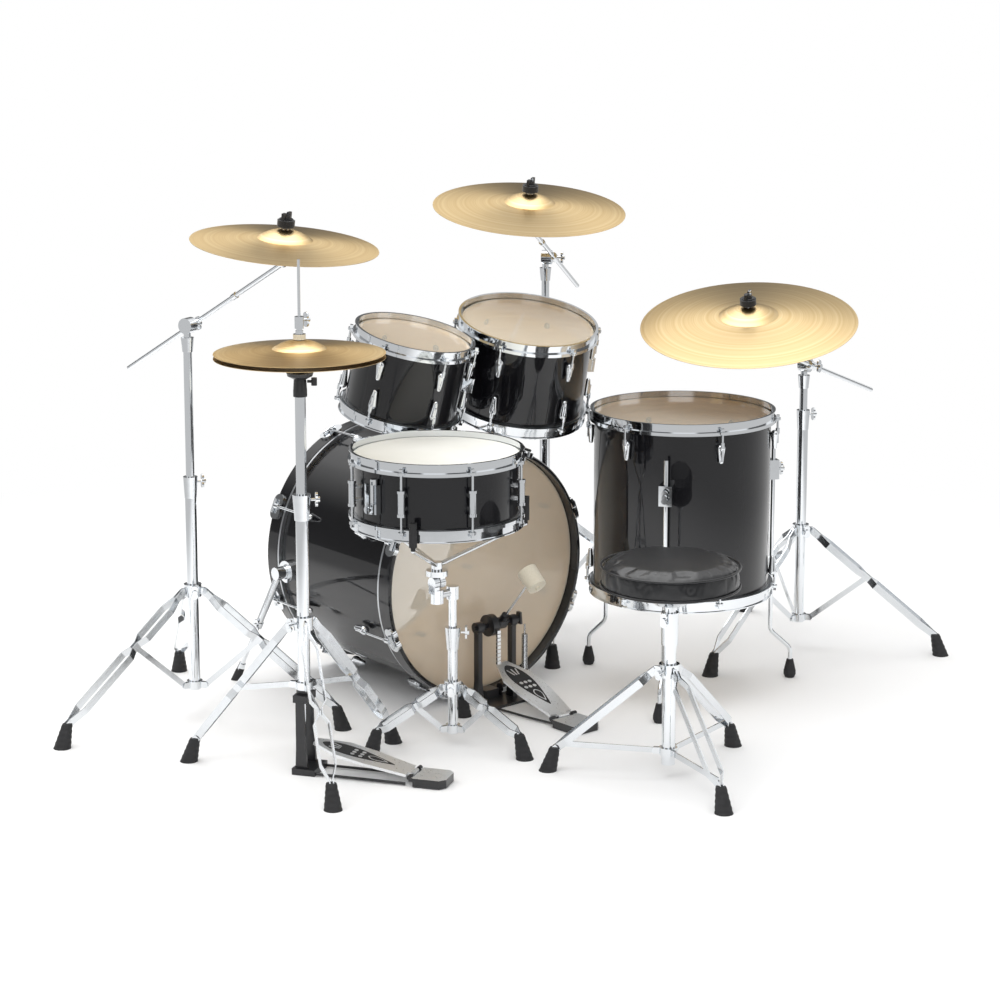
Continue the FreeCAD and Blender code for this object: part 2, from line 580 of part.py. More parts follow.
def hihat():
    post = HIHAT_XY
    tripod(post, 13.2, 261, 5.5, 323, 188, 0.55)
    keep("lower_tubes", pipe((*post, 172), (*post, 560), 13.2, 11.6),
         *post_collar(post, 560, 13.2, 544, 599, 11.16, 15.5, 19.5, -30))
    keep("hihat_tube", pipe((*post, 420), (*post, 815), 11.1, 9.0))
    cup = turned([(3.6, 818), (14.5, 806), (14.5, 818), (13, 842), (26, 849), (28, 856), (24, 856),
                  (3.6, 850)])
    cup = put(cup, stood((*post, 0), UP))
    low_seat = HIHAT_EDGE - HIHAT_GAP - 15 - BELL_RISE + 6
    felt = turned_at(post, [(3.6, 856.2), (17, 856.2), (17, 859), (9, low_seat + 1), (3.6, low_seat + 1)])
    screw = fused(bar((post[0] + 10, post[1] - 12, 838), (post[0] + 19, post[1] - 23, 838), 3),
                  bar((post[0] + 19, post[1] - 23, 830), (post[0] + 19, post[1] - 23, 846), 6))
    keep("hihat_tube", cup.cut(bar((*post, 700), (*post, 815), 11.15)), screw)
    bottom = cymbal(HIHAT_R, 57, 9, 19)
    inverted = FreeCAD.Placement(V(*post, HIHAT_EDGE - HIHAT_GAP), FreeCAD.Rotation(V(1, 0, 0), 180))
    keep("bottom_hihat", put(bottom, inverted))
    keep("hihat_tube", felt)
    keep("hihat_rod", bar((*post, 108), (*post, HIHAT_ROD_TOP), 3.0))
    crown = HIHAT_EDGE + 9 + 19
    clutch = turned([(3.1, crown + 12), (8, crown + 12), (8, crown + 19), (6, crown + 19), (6, crown + 23),
                     (9.5, crown + 23), (9.5, crown + 48), (3.1, crown + 48)])
    clutch = put(clutch, stood((*post, 0), UP))
    bolt = wing_bolt((post[0] + 9.6, post[1], crown + 40), (1, 0, 0), 6)
    lower_nut = put(turned([(3.1, crown - 16), (9, crown - 16), (9, crown - 10), (5.5, crown - 10),
                            (5.5, crown + 11.8), (3.1, crown + 11.8)]), stood((*post, 0), UP))
    keep("hihat_clutch", clutch.fuse(bolt), lower_nut)
    for low, high in ((crown + 0.4, crown + 11.6), (crown - 9.6, crown - 2.6)):
        pad = put(turned([(5.8, low), (13, low), (13, high), (5.8, high)]), stood((*post, 0), UP))
        keep("hihat_clutch", pad)
    keep("top_hihat", put(cymbal(HIHAT_R, 57, 9, 19), stood((*post, HIHAT_EDGE), UP)))
    hihat_pedal(post)


def hihat_pedal(post):
    """The cast frame under the hi-hat tube, its footboard, heel, radius rods and chain."""
    turn = FreeCAD.Placement(V(*post, 0), FreeCAD.Rotation(V(*UP), HIHAT_PEDAL_TURN))
    arch = fused(box_about((0, 0, 163), (30, 56, 16)), bar((0, 0, 155), (0, 0, 178), 17),
                 *[slab([(-11, 0), (17, 0), (12, 60), (9, 158), (-9, 158), (-9, 60)], (1, 0, 0), UP,
                        (0, side * 25, 0), 7) for side in (-1, 1)])
    base = box_about((10, 0, 7), (52, 74, 14))
    arch = arch.cut(bar((0, 0, 100), (0, 0, 260), 4.5)).cut(bar((0, 0, 171.9), (0, 0, 260), 13.3))
    rods = [bar((34, side * 31, 5), (236, side * 31, 5), 3.0) for side in (-1, 1)]
    frame = fused(arch, base, *rods)
    keep("hihat_pedal_frame", put(frame, turn))
    heel = 246
    lift = 23
    slope = math.degrees(math.atan2(70 - lift, heel - 22))
    board = footboard(heel - 20, 86, 62)
    lay = FreeCAD.Placement(V(heel, 0, lift - 3),
                            FreeCAD.Rotation(V(*UP), 180) * FreeCAD.Rotation(V(0, 1, 0), -slope))
    keep("hihat_footboard", put(put(board, lay), turn))
    rest = FreeCAD.Placement(V(heel, 0, lift), FreeCAD.Rotation(V(*UP), 180))
    for solid in heel_plate(78, 76):
        keep("hihat_pedal_frame", put(put(solid, rest), turn))
    for index in range(4):
        low = 76 + index * 8.2
        link = box_about((0, 0, low + 3.4), (5.0, 9.0, 6.6))
        keep("hihat_rod", put(link, turn))
    axis = turn.Rotation.multVec(V(0, 1, 0))
    hinge = turn.multVec(V(heel, 0, lift - 3))
    JOINT_POINTS["hihat_footboard"] = ((hinge.x, hinge.y, hinge.z), (axis.x, axis.y, axis.z))


# ---- bass drum pedal ---------------------------------------------------------------------
def bass_pedal():
    y_shaft, z_shaft = PEDAL_SHAFT
    y_heel, z_heel = PEDAL_HEEL
    left = PEDAL_X - 58
    right = PEDAL_X + 44
    base = box_about((PEDAL_X, -44, 3), (124, 78, 6))
    posts = []
    for x in (left, right):
        post = slab([(-13, 6), (13, 6), (8, 60), (8, z_shaft), (-8, z_shaft), (-8, 60)], (0, 1, 0), UP,
                    (x, y_shaft, 0), 12)
        posts += [post, bar((x - 9, y_shaft, z_shaft), (x + 9, y_shaft, z_shaft), 13)]
    clamp = fused(box_about((PEDAL_X, 6, 2.2), (52, 30, 4.4)),
                  box_about((PEDAL_X, -13, 12.2), (40, 16, 24.4)),
                  box_about((PEDAL_X, -4, 20), (40, 34, 8.8)))
    rods = [bent_rod([(PEDAL_X + side * 45, -80, 4), (PEDAL_X + side * 38, -180, 5),
                      (PEDAL_X + side * 28, -262, 6)], 2.6, 40) for side in (-1, 1)]
    bolt = wing_bolt((PEDAL_X + 20, -13, 18), (1, 0, 0), 6)
    frame = fused(base, *posts, clamp, *rods, bolt)
    bore = bar((left - 30, y_shaft, z_shaft), (right + 30, y_shaft, z_shaft), 6.1)
    keep("pedal_frame", frame.cut(bore))
    shaft = bar((left - 14, y_shaft, z_shaft), (right + 26, y_shaft, z_shaft), 6.0)
    cam_x = PEDAL_X - 23
    cam = bar((cam_x - 9, y_shaft, z_shaft), (cam_x + 9, y_shaft, z_shaft), 25)
    hub_x = PEDAL_X + 8
    way = unit((0, BEATER_AT[0] - y_shaft, BEATER_AT[1] - z_shaft))
    beater_middle = (hub_x, *BEATER_AT)
    hub = bar((hub_x - 11, y_shaft, z_shaft), (hub_x + 11, y_shaft, z_shaft), 14)
    socket = bar((hub_x, y_shaft, z_shaft), along((hub_x, y_shaft, z_shaft), way, 30), 9)
    rocker = slab([(-9, -12), (9, -12), (6, 16), (-6, 16)], (0, 1, 0), UP, (right + 22, y_shaft, z_shaft), 6)
    keep("pedal_cam", fused(shaft, cam, hub, socket, rocker))
    face = (0, way[2], -way[1])
    rod = bar(along((hub_x, y_shaft, z_shaft), way, 30.2), along(beater_middle, way, -12), 3.0)
    body = taper(along(beater_middle, face, -26), along(beater_middle, face, 22), 22, 23.5)
    nut = bar(along(beater_middle, face, -32), along(beater_middle, face, -26), 6)
    keep("beater", rod.fuse(body.fuse(nut)).removeSplitter())
    length = math.hypot(PEDAL_TOE[0] - y_heel, PEDAL_TOE[1] - z_heel)
    slope = math.degrees(math.atan2(PEDAL_TOE[1] - z_heel, PEDAL_TOE[0] - y_heel))
    lay = FreeCAD.Placement(V(PEDAL_X, y_heel, z_heel - 3), FreeCAD.Rotation(V(*UP), 90) *
                            FreeCAD.Rotation(V(0, 1, 0), -slope))
    keep("pedal_footboard", put(footboard(length, 90, 62), lay))
    rest = FreeCAD.Placement(V(PEDAL_X, y_heel, z_heel), FreeCAD.Rotation(V(*UP), 90))
    for solid in heel_plate(86, 78):
        keep("pedal_frame", put(solid, rest))
    chain_x = cam_x
    chain_y = y_shaft - 30
    for index in range(9):
        low = 100 + index * 9.0
        keep("pedal_chain", box_about((chain_x, chain_y, low + 3.8), (10, 5, 7.4)))
    spring_x = right + 34
    coils = pipe((spring_x, y_shaft - 6, 66), (spring_x, y_shaft - 6, 148), 7, 5)
    keep("pedal_spring", coils, bar((spring_x, y_shaft - 6, 50), (spring_x, y_shaft - 6, 65.8), 2.5),
         bar((spring_x, y_shaft - 6, 148.2), (spring_x, y_shaft - 6, 172), 2.0))
    JOINT_POINTS["pedal_footboard"] = ((PEDAL_X, y_heel, z_heel - 3), (1, 0, 0))
    JOINT_POINTS["pedal_shaft"] = ((PEDAL_X, y_shaft, z_shaft), (1, 0, 0))


# ---- snare, floor tom and throne furniture -----------------------------------------------
def snare_drum():
    place = drum("snare", SNARE, "tube", ("snare_heads", "snare_heads"))
    radius = SNARE["radius"]
    depth = SNARE["depth"]
    strainer_at = 185.5
    body = fused(Part.makeBox(13, 26, 62, V(radius + 1.2, -13, -101)),
                 Part.makeBox(9, 20, 20, V(radius + 13, -10, -100)))
    butt = Part.makeBox(12, 28, 30, V(radius + 1.2, -14, -114))
    knob = bar((radius + 8, 0, -39), (radius + 8, 0, -27), 8)
    strainer = put(body.fuse(knob), stood((0, 0, 0), UP, strainer_at))
    butt = put(butt, stood((0, 0, 0), UP, strainer_at - 180))
    keep("snare_strainer", put(strainer, place), put(butt, place))
    arm = fused(bar((radius + 22.4, 0, -90), (radius + 30, 0, -90), 8),
                Part.makeBox(5, 12, 54, V(radius + 24, -6, -88)))
    keep("strainer_lever", put(put(arm, stood((0, 0, 0), UP, strainer_at)), place))
    pivot = place.multVec(stood((0, 0, 0), UP, strainer_at).multVec(V(radius + 24, 0, -90)))
    JOINT_POINTS["strainer_lever"] = ((pivot.x, pivot.y, pivot.z), polar((0, 0), strainer_at, 1.0, 0))
    wires = []
    low = -depth - 1.6
    for index in range(12):
        offset = -22 + 4 * index
        wires.append(bar((-radius + 18, offset, low), (radius - 18, offset, low), 0.8))
    plates = [Part.makeBox(10, 52, 2.0, V(side * (radius - 13) - 5, -26, low - 1)) for side in (-1, 1)]
    turn = stood((0, 0, 0), UP, strainer_at)
    keep("snare_wires", *[put(put(solid, turn), place) for solid in [fused(plates[0], *wires, plates[1])]])


def snare_stand():
    post = SNARE_POST
    hub = (SNARE["rim"][0], SNARE["rim"][1])
    tripod(post, 11.1, 193, 43, 128, 34, 0.42, 15.0)
    keep("lower_tubes", pipe((*post, 22), (*post, 222), 11.1, 9.8),
         *post_collar(post, 222, 11.1, 212, 262, 9.06, 13.0, 17.5, -40))
    keep("snare_post", pipe((*post, 60), (*post, 326), 9.0, 7.4))
    head = fused(bar((*post, 325), (*post, 354), 13.5),
                 bar((*post, 340), (*hub, 340), 9), bar((*hub, 322), (*hub, 352), 14),
                 box_about((hub[0] - 8, hub[1], 356), (14, 20, 24)),
                 bar((hub[0] - 15, hub[1], 368), (hub[0] - 1, hub[1], 368), 13))
    keep("snare_post", head.cut(bar((*post, 300), (*post, 326), 9.05)))
    ring = fused(bar((*hub, 384), (*hub, 396), 24), bar((*hub, 396), (*hub, 414), 12),
                 box_about((hub[0] + 8, hub[1], 377), (14, 20, 18)),
                 bar((hub[0] + 1, hub[1], 368), (hub[0] + 15, hub[1], 368), 13))
    arms = []
    rim_low = SNARE["rim"][2] - 2 * RIM_HEIGHT - SNARE["depth"]
    hook = SNARE["radius"] + 22
    for index in range(3):
        angle = -144 + 120 * index
        inner = polar(hub, angle, 6, 408)
        outer = polar(hub, angle, hook, rim_low - 14)
        top = polar(hub, angle, hook, rim_low + 12)
        arms.append(fused(bar(inner, outer, 5.0), ball(outer, 5.0), bar(outer, top, 5.0)))
        keep("snare_basket", pipe(polar(hub, angle, hook, rim_low - 6),
                                  polar(hub, angle, hook, rim_low + 46), 8.5, 5.2))
    keep("snare_basket", fused(ring, *arms))
    JOINT_POINTS["snare_basket"] = ((*hub, 368), (1, 0, 0))


def floor_tom():
    place = drum("floor_tom", FLOOR_TOM, "drop", ("floor_tom_heads", "floor_tom_heads"))
    radius = FLOOR_TOM["radius"]
    centre = (FLOOR_TOM["rim"][0], FLOOR_TOM["rim"][1])
    for index in range(3):
        angle = -144 + 120 * index
        block = Part.makeBox(34, 30, 46, V(radius + 0.3, -15, -168))
        block = block.cut(bar((0, 0, -200), (0, 0, -100), radius + 0.06))
        block = block.cut(bar((radius + 25, 0, -200), (radius + 25, 0, -100), 5.06))
        bolt = wing_bolt((radius + 34.5, 0, -145), (1, 0, 0), 8)
        turn = stood((0, 0, 0), UP, angle)
        keep("floor_tom_fittings", put(put(block.fuse(bolt), turn), place))
        out = radius + 25
        route = [polar(centre, angle, out, 590), polar(centre, angle, out, 120),
                 polar(centre, angle, 281, 72), polar(centre, angle, 281, 14)]
        leg = bent_rod(route, 5.0, 26)
        keep("floor_tom_legs", leg)
        boot = [Part.Wire(Part.makeCircle(size, V(*polar(centre, angle, 281, height)), V(*UP)))
                for size, height in ((11, 0), (14.5, 8), (14.5, 16), (8, 44))]
        keep("rubber_feet", Part.makeLoft(boot, True, True).cut(leg))


def throne():
    post = THRONE_XY
    tripod(post, 14.3, 255, 11.5, 231, 55, 0.93, 17.0)
    keep("lower_tubes", pipe((*post, 26), (*post, 300), 14.3, 12.9),
         *post_collar(post, 300, 14.3, 286, 356, 12.46, 17.5, 18.5, -160))
    keep("throne_post", bar((*post, 140), (*post, 407.7), 12.4),
         turned_at(post, [(12.4, 374), (34, 374), (60, 400), (60, 407.7), (12.4, 407.7)]))
    seat_low = THRONE_SEAT_TOP - THRONE_SEAT_THICK
    seat = turned_at(post, [(0, seat_low), (THRONE_SEAT_R - 6, seat_low), (THRONE_SEAT_R, seat_low + 8),
                            (THRONE_SEAT_R, THRONE_SEAT_TOP - 10), (THRONE_SEAT_R - 10, THRONE_SEAT_TOP),
                            (0, THRONE_SEAT_TOP)])
    keep("throne_seat", seat)
    JOINT_POINTS["throne"] = ((*post, seat_low), UP)


def turned_at(post, profile):
    return put(turned(profile), stood((*post, 0), UP))


def build():
    inward = bass_drum()
    spur(-1, inward)
    spur(1, inward)
    for name, spec in (("small_tom", SMALL_TOM), ("middle_tom", MIDDLE_TOM)):
        spec["axis"] = unit(spec["axis"])
        drum(name, spec, "drop", (name + "_heads", name + "_heads"))
    small_mount = tom_mount("small_tom", SMALL_TOM, 50, 85, 62)
    middle_mount = tom_mount("middle_tom", MIDDLE_TOM, 60, 85, 122)
    tom_holder(inward, small_mount, middle_mount)
    floor_tom()
    snare_drum()
    snare_stand()
    for name, spec in CRASHES.items():
        boom_stand(name, spec)
    hihat()
    bass_pedal()
    throne()


def write():
    os.makedirs("parts", exist_ok=True)
    box = FreeCAD.BoundBox()
    for solids in NODES.values():
        for solid in solids:
            box.add(solid.optimalBoundingBox(True, False))
    shift = V(-(box.XMin + box.XMax) / 2, -(box.YMin + box.YMax) / 2, -box.ZMin)
    carry = FreeCAD.Placement(shift, FreeCAD.Rotation())
    for name, solids in NODES.items():
        pieces = [piece for solid in solids for piece in solid.Solids]
        compound = Part.makeCompound([put(piece, carry) for piece in pieces])
        compound.exportStep("parts/" + name + ".step")
    print("size", box.XLength, box.YLength, box.ZLength, "shift", tuple(shift), "nodes", len(NODES))
    for name, (point, axis) in JOINT_POINTS.items():
        moved = [round(a + b, 3) for a, b in zip(point, tuple(shift))]
        print("joint", name, *moved, *[round(a, 6) for a in axis])


build()
write()
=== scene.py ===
# %% [markdown]
# # An acoustic drum kit
# What makes it look real is their finish, so most cells here are about materials: chrome plate,
# gloss lacquer, clear film, bare ply, rubber. Two things are made again as finer surfaces,
# because their look is in their form: the lathed cymbals and the sewn seat. Screws inside the
# drums and grips on the footboards are added, because they are only there to be seen.

# %% Load the frame
import json
import math
import bmesh
import bpy
import numpy as np
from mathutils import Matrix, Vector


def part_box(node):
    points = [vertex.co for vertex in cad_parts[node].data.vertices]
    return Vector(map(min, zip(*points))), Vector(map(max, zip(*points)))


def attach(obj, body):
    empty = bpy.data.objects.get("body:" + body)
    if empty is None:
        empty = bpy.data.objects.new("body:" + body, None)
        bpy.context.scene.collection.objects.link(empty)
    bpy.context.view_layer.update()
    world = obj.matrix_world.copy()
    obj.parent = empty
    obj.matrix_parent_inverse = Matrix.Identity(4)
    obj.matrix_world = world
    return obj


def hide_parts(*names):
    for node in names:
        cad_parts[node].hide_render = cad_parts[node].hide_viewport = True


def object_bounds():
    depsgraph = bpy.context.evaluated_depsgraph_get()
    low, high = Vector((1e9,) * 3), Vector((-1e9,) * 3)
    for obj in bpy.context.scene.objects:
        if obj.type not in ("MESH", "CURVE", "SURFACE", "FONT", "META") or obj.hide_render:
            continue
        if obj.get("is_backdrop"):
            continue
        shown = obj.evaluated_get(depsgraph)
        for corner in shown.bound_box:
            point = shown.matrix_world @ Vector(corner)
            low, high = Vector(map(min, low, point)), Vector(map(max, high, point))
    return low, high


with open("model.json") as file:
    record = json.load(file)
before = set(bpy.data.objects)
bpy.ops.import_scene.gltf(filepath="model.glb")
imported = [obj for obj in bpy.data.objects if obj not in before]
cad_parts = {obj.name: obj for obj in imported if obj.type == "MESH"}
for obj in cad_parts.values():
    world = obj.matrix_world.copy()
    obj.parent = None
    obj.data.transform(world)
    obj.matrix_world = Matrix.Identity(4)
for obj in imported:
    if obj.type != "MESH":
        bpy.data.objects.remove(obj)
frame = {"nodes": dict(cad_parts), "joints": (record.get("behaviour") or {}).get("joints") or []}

nodes = frame["nodes"]
joints = {joint["name"]: joint for joint in frame["joints"]}
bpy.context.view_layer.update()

# %% [markdown]
# ## Colours and shader nodes
# A colour picked on a screen is sRGB, and the renderer works in linear light, so one function
# turns hex codes to linear.  One more function adds a shader node, fills its sockets and links
# it.  Everything else about a finish is said where the finish is made.

# %% Two helpers for materials
def linear(code):
    """sRGB to linear light: c / 12.92 up to 0.04045, ((c + 0.055) / 1.055) ** 2.4 above it."""
    srgb = np.array([int(code[i:i + 2], 16) / 255 for i in (1, 3, 5)])
    light = np.where(srgb <= 0.04045, srgb / 12.92, ((srgb + 0.055) / 1.055) ** 2.4)
    return (*light.tolist(), 1.0)


def add(tree, kind, values=None, links=None, **settings):
    """Adds a node: settings are its own choices, values fill sockets, links join sockets."""
    made = tree.nodes.new("ShaderNode" + kind)
    for name, value in settings.items():
        setattr(made, name, value)
    for name, value in (values or {}).items():
        made.inputs[name].default_value = value
    for name, socket in (links or {}).items():
        tree.links.new(socket, made.inputs[name])
    return made


def finish_of(name, colour, roughness, metallic=0.0, **sockets):
    """A material whose Principled shader starts from these values; returns material, tree, shader."""
    material = bpy.data.materials.new(name)
    material.use_nodes = True
    tree = material.node_tree
    shader = tree.nodes["Principled BSDF"]
    shader.inputs["Base Color"].default_value = linear(colour)
    shader.inputs["Roughness"].default_value = roughness
    shader.inputs["Metallic"].default_value = metallic
    for socket, value in sockets.items():
        shader.inputs[socket.replace("_", " ")].default_value = value
    return material, tree, shader


print("black lacquer in linear light:", linear("#0B0B0D")[:3])

# %% [markdown]
# ## Chrome plate
# Hoops, lugs, tubes and legs are steel or zinc castings, nickel-chrome plated.  Plate is an
# almost perfect mirror with a slightly cool tint.  The metal under it is never quite flat, so a
# very shallow swell some 40 mm long bends the reflections, and a fine haze varies the gloss.

# %% Chrome
chrome, tree, shader = finish_of("chrome_plate", "#E6E9EC", 0.06, metallic=1.0)
place = add(tree, "TexCoord").outputs["Object"]
haze = add(tree, "TexNoise", {"Scale": 90.0, "Detail": 3.0}, {"Vector": place})
gloss = add(tree, "MapRange", {"From Min": 0.35, "From Max": 0.75, "To Min": 0.045, "To Max": 0.10},
            {"Value": haze.outputs["Fac"]})
tree.links.new(gloss.outputs["Result"], shader.inputs["Roughness"])
swell = add(tree, "TexNoise", {"Scale": 25.0, "Detail": 1.0}, {"Vector": place})
relief = add(tree, "Bump", {"Strength": 0.10, "Distance": 0.0006}, {"Height": swell.outputs["Fac"]})
tree.links.new(relief.outputs["Normal"], shader.inputs["Normal"])

# %% Strip of the tripod legs
# The legs are bent from plated strip that is not polished, so they are hazier than the tubes.
strip_plate, tree, shader = finish_of("plated_strip", "#DDE0E3", 0.16, metallic=1.0)
place = add(tree, "TexCoord").outputs["Object"]
haze = add(tree, "TexNoise", {"Scale": 60.0, "Detail": 4.0}, {"Vector": place})
gloss = add(tree, "MapRange", {"From Min": 0.35, "From Max": 0.75, "To Min": 0.10, "To Max": 0.24},
            {"Value": haze.outputs["Fac"]})
tree.links.new(gloss.outputs["Result"], shader.inputs["Roughness"])
swell = add(tree, "TexNoise", {"Scale": 30.0, "Detail": 2.0}, {"Vector": place})
relief = add(tree, "Bump", {"Strength": 0.12, "Distance": 0.0006}, {"Height": swell.outputs["Fac"]})
tree.links.new(relief.outputs["Normal"], shader.inputs["Normal"])

# %% [markdown]
# ## Black lacquer, wrap and bare ply
# The shells are covered in jet-black gloss and their insides are bare birch-like ply.  Gloss
# black gets nearly all its look from what it mirrors, so the base is close to black and a clear
# coat does the work, with an orange-peel texture about 3 mm across.  Ply shows long grain that
# runs round the drum: noise that is stretched along the grain, a few millimetres wide.

# %% Shell lacquer
lacquer, tree, shader = finish_of("gloss_black_lacquer", "#0B0B0D", 0.30, Coat_Weight=1.0,
                                  Coat_Roughness=0.03, Specular_IOR_Level=0.1)
place = add(tree, "TexCoord").outputs["Object"]
peel = add(tree, "TexNoise", {"Scale": 300.0, "Detail": 1.0}, {"Vector": place})
relief = add(tree, "Bump", {"Strength": 0.05, "Distance": 0.0003}, {"Height": peel.outputs["Fac"]})
tree.links.new(relief.outputs["Normal"], shader.inputs["Coat Normal"])
cloud = add(tree, "TexNoise", {"Scale": 6.0, "Detail": 2.0}, {"Vector": place})
depth = add(tree, "MixRGB", {"Color1": linear("#08080A"), "Color2": linear("#121216")},
            {"Fac": cloud.outputs["Fac"]})
tree.links.new(depth.outputs["Color"], shader.inputs["Base Color"])

# %% Bare ply inside the shells
ply, tree, shader = finish_of("bare_ply", "#B68F60", 0.55)
place = add(tree, "TexCoord").outputs["Object"]
along = add(tree, "Mapping", {"Scale": (4.0, 4.0, 70.0)}, {"Vector": place})
grain = add(tree, "TexNoise", {"Scale": 3.0, "Detail": 6.0, "Roughness": 0.6},
            {"Vector": along.outputs["Vector"]})
tone = add(tree, "ValToRGB", links={"Fac": grain.outputs["Fac"]})
tone.color_ramp.elements[0].position = 0.3
tone.color_ramp.elements[0].color = linear("#C79D66")
tone.color_ramp.elements[1].position = 0.72
tone.color_ramp.elements[1].color = linear("#E6C38C")
tree.links.new(tone.outputs["Color"], shader.inputs["Base Color"])
relief = add(tree, "Bump", {"Strength": 0.25, "Distance": 0.0003}, {"Height": grain.outputs["Fac"]})
tree.links.new(relief.outputs["Normal"], shader.inputs["Normal"])

# %% [markdown]
# ## Drum heads
# Toms and bass drum have clear polyester film, 0.25 mm thick.  It is glossy, slightly milky
# and lets the ply show through, so it is a glossy dielectric that is partly see-through.  The
# snare's top head is sprayed with a white coating that brushes can bite on: opaque and rough,
# with a grit of about 1 mm.

# %% Clear film, coated film and the aluminium flesh hoop
film, tree, shader = finish_of("clear_polyester_film", "#F4EDDC", 0.12, Alpha=0.36, Coat_Weight=0.6,
                               Coat_Roughness=0.04)
place = add(tree, "TexCoord").outputs["Object"]
ripple = add(tree, "TexNoise", {"Scale": 9.0, "Detail": 1.0}, {"Vector": place})
relief = add(tree, "Bump", {"Strength": 0.06, "Distance": 0.002}, {"Height": ripple.outputs["Fac"]})
tree.links.new(relief.outputs["Normal"], shader.inputs["Normal"])

coated, tree, shader = finish_of("coated_film", "#E9E9E2", 0.62)
place = add(tree, "TexCoord").outputs["Object"]
grit = add(tree, "TexNoise", {"Scale": 900.0, "Detail": 2.0}, {"Vector": place})
relief = add(tree, "Bump", {"Strength": 0.35, "Distance": 0.0002}, {"Height": grit.outputs["Fac"]})
tree.links.new(relief.outputs["Normal"], shader.inputs["Normal"])
cloud = add(tree, "TexNoise", {"Scale": 14.0, "Detail": 3.0}, {"Vector": place})
tone = add(tree, "MixRGB", {"Color1": linear("#E4E4DC"), "Color2": linear("#EFEFEA")},
           {"Fac": cloud.outputs["Fac"]})
tree.links.new(tone.outputs["Color"], shader.inputs["Base Color"])

aluminium, tree, shader = finish_of("extruded_aluminium", "#C9CCCF", 0.28, metallic=1.0)
place = add(tree, "TexCoord").outputs["Object"]
draw = add(tree, "TexNoise", {"Scale": 220.0, "Detail": 2.0}, {"Vector": place})
relief = add(tree, "Bump", {"Strength": 0.10, "Distance": 0.0002}, {"Height": draw.outputs["Fac"]})
tree.links.new(relief.outputs["Normal"], shader.inputs["Normal"])

# %% [markdown]
# ## Lathed bronze
# A cymbal is cast or rolled bronze that a lathe has cut in fine concentric grooves.  Light
# smears across such grooves, so the highlight opens into bright wedges that run from bell to
# edge.  An anisotropic metal does that, with its tangent along the grooves, which the piece's
# UV map gives.  Groove pitch is about 0.7 mm on the real thing; it is drawn at 2.2 mm, as coarse
# as it needs to show, with broader tonal rings some 9 mm wide over it.

# %% Cymbal bronze
GROOVE_PITCH = 0.0022
bronze, tree, shader = finish_of("lathed_bronze", "#E2C48E", 0.33, metallic=1.0, Anisotropic=0.75)
spread = add(tree, "UVMap").outputs["UV"]
radial = add(tree, "SeparateXYZ", links={"Vector": spread}).outputs["Y"]
turn = add(tree, "Tangent", direction_type="UV_MAP")
tree.links.new(turn.outputs["Tangent"], shader.inputs["Tangent"])
ring_at = add(tree, "CombineXYZ", links={"X": radial})
rings = add(tree, "TexNoise", {"Scale": 110.0, "Detail": 5.0, "Roughness": 0.65},
            {"Vector": ring_at.outputs["Vector"]})
tone = add(tree, "ValToRGB", links={"Fac": rings.outputs["Fac"]})
tone.color_ramp.elements[0].position = 0.30
tone.color_ramp.elements[0].color = linear("#CBAB74")
tone.color_ramp.elements[1].position = 0.70
tone.color_ramp.elements[1].color = linear("#E6D0A4")
tree.links.new(tone.outputs["Color"], shader.inputs["Base Color"])
count = add(tree, "Math", {1: 2 * math.pi / GROOVE_PITCH}, {0: radial}, operation="MULTIPLY")
groove = add(tree, "Math", links={0: count.outputs[0]}, operation="SINE")
depth = add(tree, "Math", {1: 2.0}, {0: rings.outputs["Fac"]}, operation="MULTIPLY")
height = add(tree, "Math", links={0: groove.outputs[0], 1: depth.outputs[0]}, operation="ADD")
relief = add(tree, "Bump", {"Strength": 0.12, "Distance": 0.0003}, {"Height": height.outputs[0]})
tree.links.new(relief.outputs["Normal"], shader.inputs["Normal"])

# %% [markdown]
# ## Castings, rubber, vinyl and felt
# The pedals' posts and bases are zinc castings under black powder coat, whose pebble is 1.4 mm
# across.
# Feet and grips are moulded rubber, nearly black and dull.  The seat is stretched vinyl, whose
# pressed grain is a net of cells a millimetre or two across.  Felt is fibre: rough, fuzzy at
# the rim, which sheen gives, and never one even colour.

# %% Black powder coat
powder, tree, shader = finish_of("black_powder_coat", "#151517", 0.34, Coat_Weight=0.25, Coat_Roughness=0.2)
place = add(tree, "TexCoord").outputs["Object"]
pebble = add(tree, "TexNoise", {"Scale": 700.0, "Detail": 2.0}, {"Vector": place})
relief = add(tree, "Bump", {"Strength": 0.18, "Distance": 0.0002}, {"Height": pebble.outputs["Fac"]})
tree.links.new(relief.outputs["Normal"], shader.inputs["Normal"])
wear = add(tree, "TexNoise", {"Scale": 30.0, "Detail": 4.0}, {"Vector": place})
tone = add(tree, "MixRGB", {"Color1": linear("#101012"), "Color2": linear("#222225")},
           {"Fac": wear.outputs["Fac"]})
tree.links.new(tone.outputs["Color"], shader.inputs["Base Color"])

# %% Rubber
rubber, tree, shader = finish_of("moulded_rubber", "#19191A", 0.68)
place = add(tree, "TexCoord").outputs["Object"]
dust = add(tree, "TexNoise", {"Scale": 60.0, "Detail": 4.0}, {"Vector": place})
tone = add(tree, "MixRGB", {"Color1": linear("#121213"), "Color2": linear("#29292B")},
           {"Fac": dust.outputs["Fac"]})
tree.links.new(tone.outputs["Color"], shader.inputs["Base Color"])
skin = add(tree, "TexNoise", {"Scale": 800.0, "Detail": 1.0}, {"Vector": place})
relief = add(tree, "Bump", {"Strength": 0.2, "Distance": 0.0002}, {"Height": skin.outputs["Fac"]})
tree.links.new(relief.outputs["Normal"], shader.inputs["Normal"])

